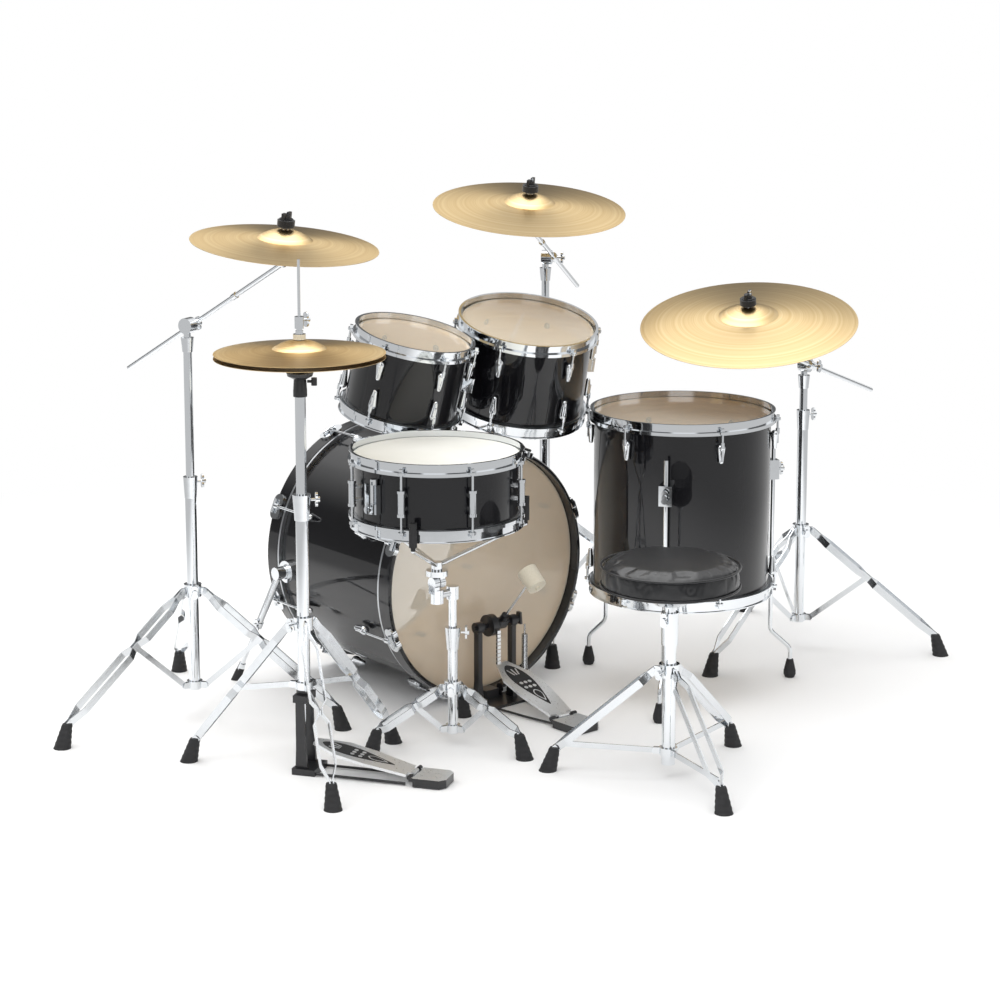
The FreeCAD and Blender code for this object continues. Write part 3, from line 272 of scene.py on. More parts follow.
# %% Vinyl of the seat
vinyl, tree, shader = finish_of("black_vinyl", "#121315", 0.38, Coat_Weight=0.25, Coat_Roughness=0.22)
place = add(tree, "TexCoord").outputs["Object"]
cells = add(tree, "TexVoronoi", {"Scale": 520.0}, {"Vector": place}, feature="DISTANCE_TO_EDGE")
creases_and_shade = add(tree, "TexNoise", {"Scale": 22.0, "Detail": 3.0}, {"Vector": place})
height = add(tree, "Math", {1: 0.6}, {0: creases_and_shade.outputs["Fac"]}, operation="MULTIPLY")
both = add(tree, "Math", links={0: height.outputs[0], 1: cells.outputs["Distance"]}, operation="ADD")
relief = add(tree, "Bump", {"Strength": 0.30, "Distance": 0.0006}, {"Height": both.outputs[0]})
tree.links.new(relief.outputs["Normal"], shader.inputs["Normal"])
# Painted shade: the colour is darker where the crease noise is low, in the hollows of the creases, and
# lighter on their ridges.
tone = add(tree, "MixRGB", {"Color1": linear("#0C0D0F"), "Color2": linear("#17181B")},
           {"Fac": creases_and_shade.outputs["Fac"]})
tree.links.new(tone.outputs["Color"], shader.inputs["Base Color"])

# %% Felt, cream and black
felt, tree, shader = finish_of("cream_felt", "#D8D0BC", 0.92, Sheen_Weight=0.35, Sheen_Roughness=0.4)
place = add(tree, "TexCoord").outputs["Object"]
fibre = add(tree, "TexNoise", {"Scale": 520.0, "Detail": 5.0, "Roughness": 0.7}, {"Vector": place})
tone = add(tree, "MixRGB", {"Color1": linear("#B9AF98"), "Color2": linear("#E8E2D2")},
           {"Fac": fibre.outputs["Fac"]})
tree.links.new(tone.outputs["Color"], shader.inputs["Base Color"])
relief = add(tree, "Bump", {"Strength": 0.5, "Distance": 0.0005}, {"Height": fibre.outputs["Fac"]})
tree.links.new(relief.outputs["Normal"], shader.inputs["Normal"])

black_felt, tree, shader = finish_of("black_felt", "#161617", 0.95, Sheen_Weight=0.25, Sheen_Roughness=0.5)
place = add(tree, "TexCoord").outputs["Object"]
fibre = add(tree, "TexNoise", {"Scale": 520.0, "Detail": 5.0, "Roughness": 0.7}, {"Vector": place})
tone = add(tree, "MixRGB", {"Color1": linear("#0C0C0D"), "Color2": linear("#29292B")},
           {"Fac": fibre.outputs["Fac"]})
tree.links.new(tone.outputs["Color"], shader.inputs["Base Color"])
relief = add(tree, "Bump", {"Strength": 0.5, "Distance": 0.0005}, {"Height": fibre.outputs["Fac"]})
tree.links.new(relief.outputs["Normal"], shader.inputs["Normal"])

# %% Brushed footboard plate
brushed, tree, shader = finish_of("brushed_footboard", "#E4E6E7", 0.36, metallic=0.75)
place = add(tree, "TexCoord").outputs["Object"]
lines = add(tree, "Mapping", {"Scale": (260.0, 40.0, 260.0)}, {"Vector": place})
scratch = add(tree, "TexNoise", {"Scale": 2.0, "Detail": 4.0}, {"Vector": lines.outputs["Vector"]})
gloss = add(tree, "MapRange", {"To Min": 0.20, "To Max": 0.42}, {"Value": scratch.outputs["Fac"]})
tree.links.new(gloss.outputs["Result"], shader.inputs["Roughness"])
relief = add(tree, "Bump", {"Strength": 0.08, "Distance": 0.0002}, {"Height": scratch.outputs["Fac"]})
tree.links.new(relief.outputs["Normal"], shader.inputs["Normal"])

# %% Coil of the return spring
# The spring is close-wound wire 1.6 mm thick, so its side is a stack of round ridges.  They are
# drawn 3 mm apart, as coarse as they need to show.
COIL_PITCH = 0.0030
coil, tree, shader = finish_of("spring_steel", "#CFD2D5", 0.16, metallic=1.0)
place = add(tree, "TexCoord").outputs["Object"]
height = add(tree, "SeparateXYZ", links={"Vector": place}).outputs["Z"]
turns = add(tree, "Math", {1: 2 * math.pi / COIL_PITCH}, {0: height}, operation="MULTIPLY")
ridge = add(tree, "Math", links={0: turns.outputs[0]}, operation="SINE")
relief = add(tree, "Bump", {"Strength": 1.0, "Distance": 0.0006}, {"Height": ridge.outputs[0]})
tree.links.new(relief.outputs["Normal"], shader.inputs["Normal"])
# Painted shade: the base colour darkens to #3A3B3D in the grooves between the turns, where shade falls, and
# is plain steel on the ridges.
shade = add(tree, "MapRange", {"From Min": -1.0, "From Max": -0.2}, {"Value": ridge.outputs[0]})
tone = add(tree, "MixRGB", {"Color1": linear("#3A3B3D"), "Color2": linear("#CFD2D5")},
           {"Fac": shade.outputs["Result"]})
tree.links.new(tone.outputs["Color"], shader.inputs["Base Color"])
print("finishes", len(bpy.data.materials))

# %% [markdown]
# ## Dressing the hard parts
# A node such as a boom is one part in the frame but several materials on the bench: a chrome
# rod, felt pads, a black nut.  Each face can take its own finish, so a rule looks at where the
# faces' middles are and which way they face, and gives back one number a face.

# %% Finishes by face
def read(items, attribute, width):
    """One attribute of all the faces or vertices of a mesh, as an (n, width) array."""
    values = np.empty(len(items) * width)
    items.foreach_get(attribute, values)
    return values.reshape(-1, width)


def faces_of(node):
    """Middles and outward normals of a node's faces, each an (n, 3) array."""
    faces = nodes[node].data.polygons
    return read(faces, "center", 3), read(faces, "normal", 3)


def areas_of(node):
    """Areas of a node's faces."""
    return read(nodes[node].data.polygons, "area", 1).ravel()


def dress(node, finishes, rule=None):
    """Gives a node its finishes; rule(middles, normals) picks one for each face by number."""
    mesh = nodes[node].data
    mesh.materials.clear()
    for finish in finishes:
        mesh.materials.append(finish)
    picked = np.zeros(len(mesh.polygons), np.int32)
    if rule:
        picked = rule(*faces_of(node)).astype(np.int32)
    mesh.polygons.foreach_set("material_index", picked)


def about(middles, origin, axis):
    """How far along an axis each point is, and how far off it."""
    offset = middles - np.array(origin)
    height = offset @ axis
    return height, np.linalg.norm(offset - height[:, None] * axis, axis=1)


def facing(node):
    """The direction that most of a node's flat area faces, and the middle of the node along it."""
    areas = areas_of(node)
    middles, normals = faces_of(node)
    keys, member = np.unique(np.round(normals, 3), axis=0, return_inverse=True)
    axis = keys[np.argmax(np.bincount(member.ravel(), areas))]
    axis = axis / np.linalg.norm(axis)
    if axis[2] < -0.1:
        axis = -axis
    low, high = (middles @ axis).min(), (middles @ axis).max()
    centre = (middles * areas[:, None]).sum(0) / areas.sum()
    return axis, centre + axis * ((low + high) / 2 - centre @ axis)


DRUMS = {"bass": 22, "small_tom": 10, "middle_tom": 12, "floor_tom": 16, "snare": 14}
HALF_INCH = 0.0127
drum_axis = {}
for drum, inches in DRUMS.items():
    axis, middle = facing(drum + "_heads")
    drum_axis[drum] = (axis, middle, inches * HALF_INCH)
    print(drum, "axis", axis.round(3), "middle", middle.round(3))

# %% Shells, heads and hoops
SKIN = 0.0004
COLLAR = 0.0012


def ply_rule(axis, middle, radius):
    """Makes a rule that gives 1 to the ply: faces inside the outer skin, or on the bearing edge."""
    def rule(middles, normals):
        return about(middles, middle, axis)[1] < radius - SKIN
    return rule


def head_rule(axis, middle, radius, coated_top):
    """Makes a rule: 0 film, 1 the flesh hoop outside the film's collar, 2 film with a coated top."""
    def rule(middles, normals):
        height, out = about(middles, middle, axis)
        hoop = out > radius + COLLAR
        return np.where(hoop, 1, np.where(coated_top & (height > 0), 2, 0))
    return rule


for drum, (axis, middle, radius) in drum_axis.items():
    dress(drum + "_shell", [lacquer, ply], ply_rule(axis, middle, radius))
    dress(drum + "_heads", [film, aluminium, coated], head_rule(axis, middle, radius, drum == "snare"))
    if drum != "bass":
        dress(drum + "_hoops", [chrome])
        dress(drum + "_fittings", [chrome])
dress("bass_hoops", [lacquer])
dress("bass_fittings", [chrome])
dress("bass_claws", [chrome])

# %% Stands and furniture
SPUR_TIP = 0.030
BASKET_ARM = 0.008
FELT_OUT = 0.0044
FELT_LOW = 0.0165
FELT_HIGH = 0.0225
HAT_SEAT_FELT = 0.0035
HAT_CUP = 0.0535
CLUTCH_ROD = 0.0056
CLUTCH_FELT = (-0.0098, 0.0118)
UP = np.array((0, 0, 1.0))
for node in ("left_spur", "right_spur"):
    dress(node, [chrome, rubber], lambda middles, normals: middles[:, 2] < SPUR_TIP)
for node in ("tom_holder", "small_tom_strap", "middle_tom_strap", "tripod_hubs", "lower_tubes",
             "floor_tom_legs", "snare_post", "snare_strainer", "strainer_lever", "snare_wires",
             "hihat_rod", "left_tube", "rear_tube", "ride_tube", "throne_post", "pedal_chain"):
    dress(node, [chrome])
dress("tripod_legs", [strip_plate])
dress("rubber_feet", [rubber])
low_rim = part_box("snare_hoops")[0][2]
dress("snare_basket", [chrome, rubber], lambda middles, normals: middles[:, 2] > low_rim - BASKET_ARM)


def boom_rule(hole, stem):
    """Makes a rule: 0 the rod, 1 black felt on both sides of the cymbal, 2 the nut over them."""
    def rule(middles, normals):
        height, out = about(middles, hole, stem)
        soft = (height > -FELT_LOW) & (out > FELT_OUT)
        return np.where(soft, np.where(height > FELT_HIGH, 2, 1), 0)
    return rule


for name in ("left", "rear", "ride"):
    joint = joints[name + "_cymbal_rock"]
    rock = np.array(joint["axis"])
    stem = UP - rock * rock[2]
    stem /= np.linalg.norm(stem)
    dress(name + "_boom", [chrome, black_felt, powder], boom_rule(np.array(joint["pos_m"]), stem))
    print(name, "stem", stem.round(3))


def hat_seat(middles, normals):
    """The seat under the hi-hats: 2 its felt, 1 the black cup under that, 0 the tube."""
    down = tube_top - middles[:, 2]
    return np.where(down < HAT_SEAT_FELT, 2, np.where(down < HAT_CUP, 1, 0))


def clutch_felts(middles, normals):
    """The clutch's felts: what is wider than the rod, just below and above the top hat's crown."""
    over = middles[:, 2] - crown
    return (about(middles, hat_at, UP)[1] > CLUTCH_ROD) & (over > CLUTCH_FELT[0]) & (over < CLUTCH_FELT[1])


tube_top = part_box("hihat_tube")[1][2]
hat_low, hat_high = (np.array(corner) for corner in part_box("top_hihat"))
crown = hat_high[2]
hat_at = (hat_low + hat_high) / 2
dress("hihat_tube", [chrome, powder, black_felt], hat_seat)
dress("hihat_clutch", [chrome, felt], clutch_felts)
dress("pedal_spring", [coil])


HEEL_TOP = (0.0165, 0.0235)


def heel_tops(middles, normals):
    """The bright plate on each heel: upward faces low down, behind the hinge."""
    return (normals[:, 2] > 0.95) & (middles[:, 2] > HEEL_TOP[0]) & (middles[:, 2] < HEEL_TOP[1])


dress("pedal_frame", [powder, brushed], heel_tops)
dress("hihat_pedal_frame", [powder, brushed], heel_tops)
dress("pedal_cam", [powder])
shaft = np.array(joints["pedal_shaft_turn"]["pos_m"])
BEATER_SIZE = 0.050


def headward(middles, normals):
    """The felt of the beater: everything within its own width of the far end from the shaft."""
    away = about(middles, shaft, np.array((1.0, 0, 0)))[1]
    return away > away.max() - BEATER_SIZE


dress("beater", [chrome, felt], headward)
for node in ("pedal_footboard", "hihat_footboard"):
    dress(node, [brushed])

# %% [markdown]
# ## Surfaces from formulas
# Every new piece is a grid of points worked out in one go, then joined into quads.  A closed
# grid wraps round, and points that fall together, as at a pole, are merged.

# %% Grid to mesh
def surface(name, grid, finish, body, wraps=(False, True), uv=None, sharp=35):
    """A mesh from (m, n, 3) points; quads join neighbours, and wraps says which ways close."""
    rows, columns = grid.shape[:2]
    index = np.arange(rows * columns).reshape(rows, columns)
    down = np.roll(index, -1, 0) if wraps[0] else index[1:]
    here = index if wraps[0] else index[:-1]
    right = np.roll(here, -1, 1)
    right_down = np.roll(down, -1, 1)
    if not wraps[1]:
        here, down, right, right_down = here[:, :-1], down[:, :-1], right[:, :-1], right_down[:, :-1]
    quads = np.stack([here, right, right_down, down], -1).reshape(-1, 4)
    mesh = bpy.data.meshes.new(name)
    mesh.from_pydata(grid.reshape(-1, 3).tolist(), [], quads.tolist())
    if uv is not None:
        layer = mesh.uv_layers.new(name="UVMap")
        corners = uv.reshape(-1, 2)[quads.ravel()]
        turn = corners[:, 0].reshape(-1, 4)
        turn[(turn.max(1) - turn.min(1)) > 0.5] %= 1.0
        low = turn < 0.5
        split = (turn.max(1) - turn.min(1)) > 0.5
        turn[split[:, None] & low] += 1.0
        corners[:, 0] = turn.ravel()
        layer.data.foreach_set("uv", corners.astype(np.float32).ravel())
    return solid(name, mesh, finish, body, sharp)


def solid(name, mesh, finish, body, sharp=35):
    """Merges doubles, turns the faces outwards, shades them smooth and hangs the piece on a body."""
    work = bmesh.new()
    work.from_mesh(mesh)
    bmesh.ops.remove_doubles(work, verts=work.verts, dist=1e-6)
    bmesh.ops.dissolve_degenerate(work, edges=work.edges, dist=1e-7)
    bmesh.ops.recalc_face_normals(work, faces=work.faces)
    work.to_mesh(mesh)
    work.free()
    mesh.polygons.foreach_set("use_smooth", np.ones(len(mesh.polygons), bool))
    mesh.set_sharp_from_angle(angle=math.radians(sharp))
    piece = bpy.data.objects.new(name, mesh)
    bpy.context.scene.collection.objects.link(piece)
    mesh.materials.append(finish)
    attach(piece, body)
    return piece


def lean(axis):
    """The rotation that carries +Z to an axis the short way: I + K + K K / (1 + cos)."""
    x, y, z = axis
    cross = np.array([[0, 0, x], [0, 0, y], [-x, -y, 0]])
    return np.eye(3) + cross + cross @ cross / (1 + z)


def turned(profile, origin, axis, count=96):
    """Points of revolution: each (radius, height) goes round the axis, count times."""
    angle = np.linspace(0, 2 * np.pi, count, endpoint=False)
    radius, height = np.asarray(profile, float).T
    points = np.stack([radius[:, None] * np.cos(angle), radius[:, None] * np.sin(angle),
                       height[:, None] + 0 * angle], -1)
    return points @ lean(axis).T + np.asarray(origin)


print("surface helpers ready")

# %% [markdown]
# ## Cymbals
# A cymbal is a thin dish: a domed bell in the middle, a crisp step, then a shallow bow out to
# the edge.  Its section is one closed outline, top skin out and under skin back, which goes
# round the stem.  The metal is 1.2 mm thick and thins to 0.9 mm at the rounded edge.

# %% Cymbal section and the five cymbals
HOLE = 0.0075
METAL = 0.0012
CYMBALS = {"left_cymbal": (0.2032, 0.060, 0.013, 0.021), "rear_cymbal": (0.2286, 0.061, 0.016, 0.021),
           "ride_cymbal": (0.2540, 0.070, 0.022, 0.021), "top_hihat": (0.1778, 0.057, 0.009, 0.019),
           "bottom_hihat": (0.1778, 0.057, 0.009, 0.019)}


def cymbal_section(radius, bell, bow, rise):
    """Outline: z = bow (u + 0.24 u (1 - u)) on the bow, u from edge to bell; a sphere on the bell."""
    ball = (bell ** 2 + rise ** 2) / (2 * rise)
    at = np.concatenate([np.linspace(HOLE, bell, 14), np.linspace(bell, radius, 42)[1:]])
    share = (radius - at) / (radius - bell)
    bow_z = bow * (share + 0.24 * share * (1 - share))
    bell_z = bow + rise - ball + np.sqrt(np.maximum(ball ** 2 - at ** 2, 0))
    top = np.where(at <= bell, bell_z, bow_z)
    thick = METAL * (1 - 0.25 * ((at - HOLE) / (radius - HOLE)) ** 2)
    skin = np.stack([at, top], 1)
    under = np.stack([at, top - thick], 1)[::-1]
    lip = np.array([[radius + 0.0002, -0.00045]])
    return np.concatenate([skin, lip, under, skin[:1]])


for name, (radius, bell, bow, rise) in CYMBALS.items():
    section = cymbal_section(radius, bell, bow, rise)
    low, high = (np.array(corner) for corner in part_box(name))
    if name in ("top_hihat", "bottom_hihat"):
        flip = 1.0 if name == "top_hihat" else -1.0
        edge = low[2] + METAL if flip > 0 else high[2] - METAL
        grid = turned(section * (1, flip), (*(low + high)[:2] / 2, edge), (0, 0, 1.0), 160)
        body = "hihat_clutch" if flip > 0 else "hihat_tube"
    else:
        middles, normals = faces_of(name)
        hole = np.array(joints[name + "_rock"]["pos_m"])
        upward = normals[:, 2] > 0
        axis = (normals[upward] * areas_of(name)[upward][:, None]).sum(0)
        axis /= np.linalg.norm(axis)
        middle = section[0, 1] - METAL / 2
        grid = turned(section, hole - axis * middle, axis, 160)
        body = name
    reach = np.broadcast_to(section[:, :1], grid.shape[:2])
    around = np.broadcast_to(np.linspace(0, 1, grid.shape[1], endpoint=False), grid.shape[:2])
    piece = surface(name + "_lathed", grid, bronze, body,
                    uv=np.stack([around, reach], -1), sharp=20)
    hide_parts(name)
    print(name, "radius", radius, "body", body)

# %% [markdown]
# ## Bolts inside the drums
# Through a clear head the screws that hold the lugs show as dark dots on the bare ply.  They
# are pan-head screws on washers, one or two to a lug, so each is a low dome 15 mm across.  The
# lugs are evenly spaced, so their phase is that of the sum of exp(i n angle) over the fittings.

# %% Bolt heads
DOME = np.array([[0.0, 0.0], [0.0075, 0.0], [0.0073, -0.0008], [0.0045, -0.0012], [0.0040, -0.0030],
                 [0.0028, -0.0038], [0.0, -0.0040]])
BOLTS = {"bass": (8, (-0.147, -0.128, 0.128, 0.147)), "small_tom": (6, (-0.045, 0.045)),
         "middle_tom": (6, (-0.050, 0.050)), "floor_tom": (6, (-0.150, 0.150))}
SHELL_WALL = 0.0070
PROUD = 0.0001
LUG_DEPTH = 0.012
DOME_SIDES = 16
for drum, (count, levels) in BOLTS.items():
    axis, middle, radius = drum_axis[drum]
    middles, normals = faces_of(drum + "_fittings")
    height, out = about(middles, middle, axis)
    side = lean(axis)[:, 0]
    front = np.cross(axis, side)
    flat = (middles - middle) - height[:, None] * axis
    bearing = np.arctan2(flat @ front, flat @ side)[out < radius + LUG_DEPTH]
    phase = np.angle(np.exp(1j * count * bearing).sum()) / count
    rows = []
    for level in levels:
        for turn in phase + np.arange(count) * 2 * np.pi / count:
            inward = -(np.cos(turn) * side + np.sin(turn) * front)
            seat_on = middle + level * axis - inward * (radius - SHELL_WALL - PROUD)
            rows.append(turned(DOME * (1, -1), seat_on, inward, DOME_SIDES))
    points = np.concatenate([row.reshape(-1, 3) for row in rows])
    ring = np.arange(len(DOME) * DOME_SIDES).reshape(len(DOME), DOME_SIDES)
    upper, lower = ring[:-1], ring[1:]
    cell = np.stack([upper, np.roll(upper, -1, 1), np.roll(lower, -1, 1), lower], -1).reshape(-1, 4)
    quads = (cell[None] + (np.arange(len(rows)) * ring.size)[:, None, None]).reshape(-1, 4)
    mesh = bpy.data.meshes.new(drum + "_bolts")
    mesh.from_pydata(points.tolist(), [], quads.tolist())
    solid(drum + "_bolts", mesh, powder, "frame" if drum == "bass" else drum)
    print(drum, "bolts", len(rows), "phase", round(math.degrees(phase), 1))

# %% [markdown]
# ## Inlays of the footboards
# Each footboard is a bright cast plate with a dark leaf-shaped grip sunk in it, pointed towards
# the heel and round towards the toe.  On the grip stand bright marks: three slots that fan out,
# two rows of round studs, and a smaller leaf ring.  All of them are thin flat tiles, laid out
# in the plane of the board, which its largest upward face gives.

# %% Footboard grips
def leaf(start, stop, half):
    """Outline, sharp at start, round at stop: half-width is half sin(pi u)^0.6 (0.4 + 0.9 u) / 1.06."""
    u = (1 - np.cos(np.linspace(0, np.pi, 24))) / 2
    wide = half * np.sin(np.pi * u) ** 0.6 * (0.4 + 0.9 * u) / 1.06
    edge = np.stack([start + (stop - start) * u, wide], 1)
    return np.concatenate([edge, (edge * (1, -1))[-2:0:-1]])


def slot(forward, sideways, long, size, fan):
    """Outline of a stadium: a circle pulled apart along its length, then turned by an angle."""
    roll = np.linspace(0, 2 * np.pi, 24, endpoint=False)
    flat = np.stack([np.cos(roll) * size + np.sign(np.cos(roll)) * long / 2, np.sin(roll) * size], 1)
    turn = math.radians(fan)
    spin = np.array([[math.cos(turn), math.sin(turn)], [-math.sin(turn), math.cos(turn)]])
    return flat @ spin + (forward, sideways)


def tiles(name, outlines, low, high, place, finish, body, kind):
    """One mesh of flat tiles: side walls from low to high and a fan of faces over each."""
    origin, along_board, across, up = place
    points, faces, used = [], [], 0
    for outline in outlines:
        count = len(outline)
        flat = origin + outline[:, :1] * along_board + outline[:, 1:] * across
        points += [flat + low * up, flat + high * up, flat.mean(0, keepdims=True) + high * up]
        ring = np.arange(count)
        after = np.roll(ring, -1)
        faces += (np.stack([ring, after, after + count, ring + count], 1) + used).tolist()
        faces += (np.stack([ring + count, after + count, 0 * ring + 2 * count], 1) + used).tolist()
        faces.append((ring[::-1] + used).tolist())
        used += 2 * count + 1
    mesh = bpy.data.meshes.new(name)
    mesh.from_pydata(np.concatenate(points).tolist(), [], faces)
    return solid(name, mesh, finish, body)


GRIP_LAYER = (-0.0002, 0.0004)
MARK_LAYER = (0.0003, 0.0008)
CORE_LAYER = (0.0007, 0.0010)
SIDES = (-1, 0, 1)
for node in ("hihat_footboard", "pedal_footboard"):
    middles, normals = faces_of(node)
    top = np.argmax(areas_of(node) * (normals[:, 2] > 0.8))
    up = normals[top]
    across = np.array(joints[node + "_press"]["axis"])
    across /= np.linalg.norm(across)
    along_board = np.cross(across, up)
    origin = np.array(joints[node + "_press"]["pos_m"])
    if (middles[top] - origin) @ along_board < 0:
        along_board = -along_board
    origin = origin + ((middles[top] - origin) @ up) * up
    length = ((read(nodes[node].data.vertices, "co", 3) - origin) @ along_board).max()
    place = (origin, along_board, across, up)
    grip = [leaf(0.20 * length, 0.93 * length, 0.030)]
    tiles(node + "_grip", grip, *GRIP_LAYER, place, rubber, node, "rubber")
    marks = [slot(0.80 * length, step * 0.0095, 0.020, 0.0019, step * 16) for step in SIDES]
    marks += [slot(share * length, step * 0.0125, 0.0, 0.0046, 0) for share in (0.53, 0.61) for step in SIDES]
    marks.append(leaf(0.27 * length, 0.47 * length, 0.0115))
    tiles(node + "_marks", marks, *MARK_LAYER, place, brushed, node, "footboard_alloy")
    core = [leaf(0.295 * length, 0.455 * length, 0.0090)]
    tiles(node + "_core", core, *CORE_LAYER, place, rubber, node, "rubber")
    print(node, "length", round(float(length), 3), "marks", len(marks))

# %% [markdown]
# ## The seat
# A drummer's seat is foam on a round board, with vinyl pulled down over it and a welt of
# piping where the top panel meets the side.  It is a low cylinder with soft shoulders: nearly
# flat in the middle and rounded over the last 18 mm.  Pressure in a cloth simulation swells a
# slightly smaller form, whose underside is held by the board.  How far a point may move is
# capped, so the seat keeps its size and takes the puckers.  The welts are laid on after it.

# %% Seat form
seat_low, seat_high = (np.array(corner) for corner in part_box("throne_seat"))
seat_at = (seat_low + seat_high) / 2
seat_r = (seat_high[0] - seat_low[0]) / 2
seat_t = seat_high[2] - seat_low[2]
SHOULDER = 0.018
SHRINK = 0.0035
SINK = 0.006
CROWN = 0.002
ABOVE_BOARD = 0.0005
HEM = 0.006
HEM_OUT = 0.001
HEM_HIGH = 0.005
VOXEL = 0.005
turn = np.linspace(0, np.pi / 2, 12)[:, None]
core_r = seat_r - SHRINK
top = seat_t - SINK
centre = np.array((core_r - SHOULDER, top - SHOULDER))
shoulder = centre + SHOULDER * np.hstack([np.cos(turn), np.sin(turn)])
underside = [[0, ABOVE_BOARD], [core_r - HEM, ABOVE_BOARD], [core_r - HEM_OUT, HEM_HIGH]]
outline = np.concatenate([underside, shoulder, [[0, top + CROWN]]])
grid = turned(outline, (seat_at[0], seat_at[1], seat_low[2]), (0, 0, 1.0), 120)
form = surface("seat_form", grid, vinyl, "throne_seat", sharp=60)
remesh = form.modifiers.new("even_mesh", "REMESH")
remesh.mode = "VOXEL"
remesh.voxel_size = VOXEL


def applied(piece, name):
    """A new mesh of the piece as its modifiers leave it."""
    bpy.context.view_layer.update()
    seen = piece.evaluated_get(bpy.context.evaluated_depsgraph_get())
    mesh = bpy.data.meshes.new_from_object(seen)
    mesh.name = name
    return mesh


seat = bpy.data.objects.new("seat_cushion", applied(form, "seat_even"))
bpy.context.scene.collection.objects.link(seat)
bpy.data.objects.remove(form)

# %% Swell the seat
MOST_SWELL = 0.0055
HELD = 0.004
PRESSURE = 4.0
LAST_FRAME = 20
LOWEST = 0.0002
HIGHEST = 0.002
start = read(seat.data.vertices, "co", 3)
board = seat.vertex_groups.new(name="board")
board.add(np.flatnonzero(start[:, 2] < seat_low[2] + HELD).tolist(), 1.0, "REPLACE")
cloth = seat.modifiers.new("vinyl", "CLOTH")
cloth.settings.vertex_group_mass = "board"
cloth.settings.use_pressure = True
cloth.settings.uniform_pressure_force = PRESSURE
cloth.settings.effector_weights.gravity = 0.0
for frame_number in range(1, LAST_FRAME + 1):
    bpy.context.scene.frame_set(frame_number)
swollen = read(applied(seat, "seat_swollen").vertices, "co", 3)
bpy.context.scene.frame_set(1)
seat.modifiers.remove(cloth)
seat.vertex_groups.clear()
move = swollen - start
reach = np.linalg.norm(move, axis=1, keepdims=True)
move *= np.minimum(1, MOST_SWELL / np.maximum(reach, 1e-9))
end = start + move
end[:, 2] = np.clip(end[:, 2], seat_low[2] + LOWEST, seat_high[2] + HIGHEST)
seat.data.vertices.foreach_set("co", end.ravel())
seat.data.update()
finer = seat.modifiers.new("finer", "SUBSURF")
finer.levels = finer.render_levels = 1
smooth = applied(seat, "seat_cushion")
seat.modifiers.remove(finer)
seat.data = smooth
smooth.materials.clear()
smooth.materials.append(vinyl)
smooth.polygons.foreach_set("use_smooth", np.ones(len(smooth.polygons), bool))
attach(seat, "throne_seat")
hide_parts("throne_seat")
print("seat swell up to", round(float(reach.max()) * 1000, 1), "mm, kept to", MOST_SWELL * 1000)

# %% Piping
PIPING = 0.0026
WELTS = {"upper": (seat_t - 0.0145, seat_r - 0.0030), "lower": (0.0065, seat_r - 0.0032)}
for label, (height, radius) in WELTS.items():
    angle = np.linspace(0, 2 * np.pi, 180, endpoint=False)[:, None]
    circle = np.concatenate([radius * np.cos(angle) + seat_at[0], radius * np.sin(angle) + seat_at[1],
                             0 * angle + seat_low[2] + height], 1)
    out = np.concatenate([np.cos(angle), np.sin(angle), 0 * angle], 1)
    roll = np.linspace(0, 2 * np.pi, 10, endpoint=False)[None, :, None]
    welt = circle[:, None] + PIPING * (np.cos(roll) * out[:, None] + np.sin(roll) * UP)
    surface("seat_welt_" + label, welt, vinyl, "throne_seat", wraps=(True, True))
print("seat radius", round(seat_r, 4), "thickness", round(seat_t, 4))

# %% [markdown]
# ## The studio
# Chrome and gloss black show little but their surroundings, so mirrors see a dark room with a
# bright ceiling and a few tall panels, while soft light comes from all sides. The lens sees
# only white beyond the floor.

# %% Floor
angle = np.linspace(0, 2 * np.pi, 96, endpoint=False)
rings = np.array([0.0, 4.0, 60.0])[:, None]
sweep = np.stack([rings * np.cos(angle), rings * np.sin(angle), 0 * rings + 0 * angle], -1)
index = np.arange(sweep[..., 0].size).reshape(sweep.shape[:2])
quads = np.stack([index[:-1], index[1:], np.roll(index[1:], -1, 1), np.roll(index[:-1], -1, 1)], -1)
floor_mesh = bpy.data.meshes.new("studio_floor")
floor_mesh.from_pydata(sweep.reshape(-1, 3).tolist(), [], quads.reshape(-1, 4).tolist())
floor = bpy.data.objects.new("studio_floor", floor_mesh)
bpy.context.scene.collection.objects.link(floor)
paper, tree, shader = finish_of("white_sweep", "#FAFAFA", 0.7, Specular_IOR_Level=0.2)
place = add(tree, "TexCoord").outputs["Object"]
reach = add(tree, "VectorMath", links={0: place}, operation="LENGTH")
fade = add(tree, "MapRange", {"From Min": 1.5, "From Max": 2.7}, {"Value": reach.outputs["Value"]},
           interpolation_type="SMOOTHSTEP")
seen = add(tree, "LightPath").outputs["Is Camera Ray"]
level = add(tree, "MapRange", {"To Min": 0.62, "To Max": 1.0}, {"Value": seen})
beyond = add(tree, "Emission", {"Color": (1, 1, 1, 1)}, {"Strength": level.outputs["Result"]})
both = add(tree, "MixShader", links={0: fade.outputs["Result"], 1: shader.outputs["BSDF"],
                                     2: beyond.outputs["Emission"]})
tree.links.new(both.outputs["Shader"], tree.nodes["Material Output"].inputs["Surface"])
floor_mesh.materials.append(paper)
floor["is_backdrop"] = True

# %% Surroundings
world = bpy.data.worlds.new("studio")
bpy.context.scene.world = world
world.use_nodes = True
sky = world.node_tree
sky.nodes.clear()
toward = add(sky, "TexCoord").outputs["Generated"]
parts = add(sky, "SeparateXYZ", links={"Vector": toward})
bearing = add(sky, "Math", links={0: parts.outputs["Y"], 1: parts.outputs["X"]}, operation="ARCTAN2")
turns = add(sky, "Math", {1: 5.0, 2: 0.6}, {0: bearing.outputs[0]}, operation="MULTIPLY_ADD")
wave = add(sky, "Math", links={0: turns.outputs[0]}, operation="SINE")
panel = add(sky, "MapRange", {"From Min": -0.1, "From Max": 0.5, "To Min": 0.13, "To Max": 1.0},
            {"Value": wave.outputs[0]}, interpolation_type="SMOOTHSTEP")
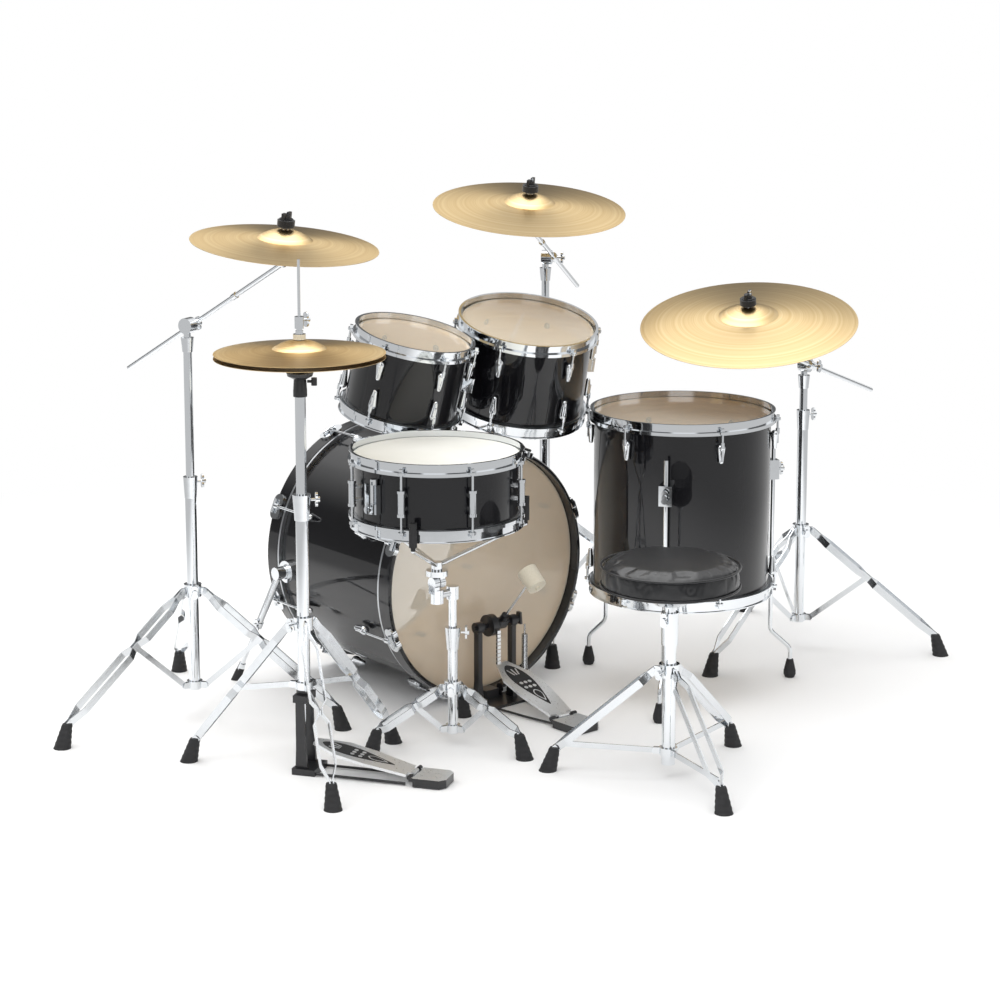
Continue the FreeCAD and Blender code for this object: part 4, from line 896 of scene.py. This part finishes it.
overhead = add(sky, "MapRange", {"From Min": 0.35, "From Max": 0.75}, {"Value": parts.outputs["Z"]},
               interpolation_type="SMOOTHSTEP")
room = add(sky, "MixRGB", {"Color2": (1.0, 1.0, 1.0, 1)}, {"Fac": overhead.outputs["Result"],
                                                           "Color1": panel.outputs["Result"]})
paths = add(sky, "LightPath")
mirrored = add(sky, "Background", {"Strength": 1.05}, {"Color": room.outputs["Color"]})
soft = add(sky, "Background", {"Color": (1, 1, 1, 1), "Strength": 0.68})
plain = add(sky, "Background", {"Color": (1, 1, 1, 1), "Strength": 1.0})
lit = add(sky, "MixShader", links={0: paths.outputs["Is Glossy Ray"], 1: soft.outputs[0],
                                   2: mirrored.outputs[0]})
view = add(sky, "MixShader", links={0: paths.outputs["Is Camera Ray"], 1: lit.outputs[0],
                                    2: plain.outputs[0]})
add(sky, "OutputWorld", links={"Surface": view.outputs[0]})


def softbox(name, place, aim, size, power):
    """A rectangular area light that looks at a point."""
    light = bpy.data.lights.new(name, "AREA")
    light.shape = "RECTANGLE"
    light.size, light.size_y = size
    light.energy = power
    lamp = bpy.data.objects.new(name, light)
    bpy.context.scene.collection.objects.link(lamp)
    back = np.array(place) - np.array(aim)
    back = back / np.linalg.norm(back)
    side = np.cross((0, 1.0, 0) if abs(back[2]) > 0.99 else (0, 0, 1.0), back)
    side = side / np.linalg.norm(side)
    matrix = np.eye(4)
    matrix[:3] = np.stack([side, np.cross(back, side), back, np.array(place)], 1)
    lamp.matrix_world = [list(column) for column in matrix.T]
    return lamp


softbox("overhead_softbox", (-0.6, 0.4, 3.8), (0, 0, 0.3), (4.5, 4.5), 140)
fill = softbox("front_fill", (-2.6, -3.6, 2.0), (0, 0, 0.5), (3.0, 2.4), 60)
fill.visible_glossy = False

# %% Camera
CAMERA_AT = (-3.8898, -4.3099, 1.7915)
CAMERA_TURN = 40.972
CAMERA_DOWN = 10.606
lens = bpy.data.cameras.new("camera")
lens.lens = 94.1
lens.sensor_width = 36.0
lens.shift_x = 0.0068
lens.shift_y = -0.1
camera = bpy.data.objects.new("camera", lens)
bpy.context.scene.collection.objects.link(camera)
camera.location = CAMERA_AT
camera.rotation_euler = (math.radians(90 - CAMERA_DOWN), 0, math.radians(-CAMERA_TURN))
bpy.context.scene.camera = camera
bpy.context.scene.view_settings.view_transform = "Standard"
print("camera", CAMERA_AT)

# %% Sizes and the last line
low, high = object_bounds()
print("visual size", [round(b - a, 3) for a, b in zip(low, high)])
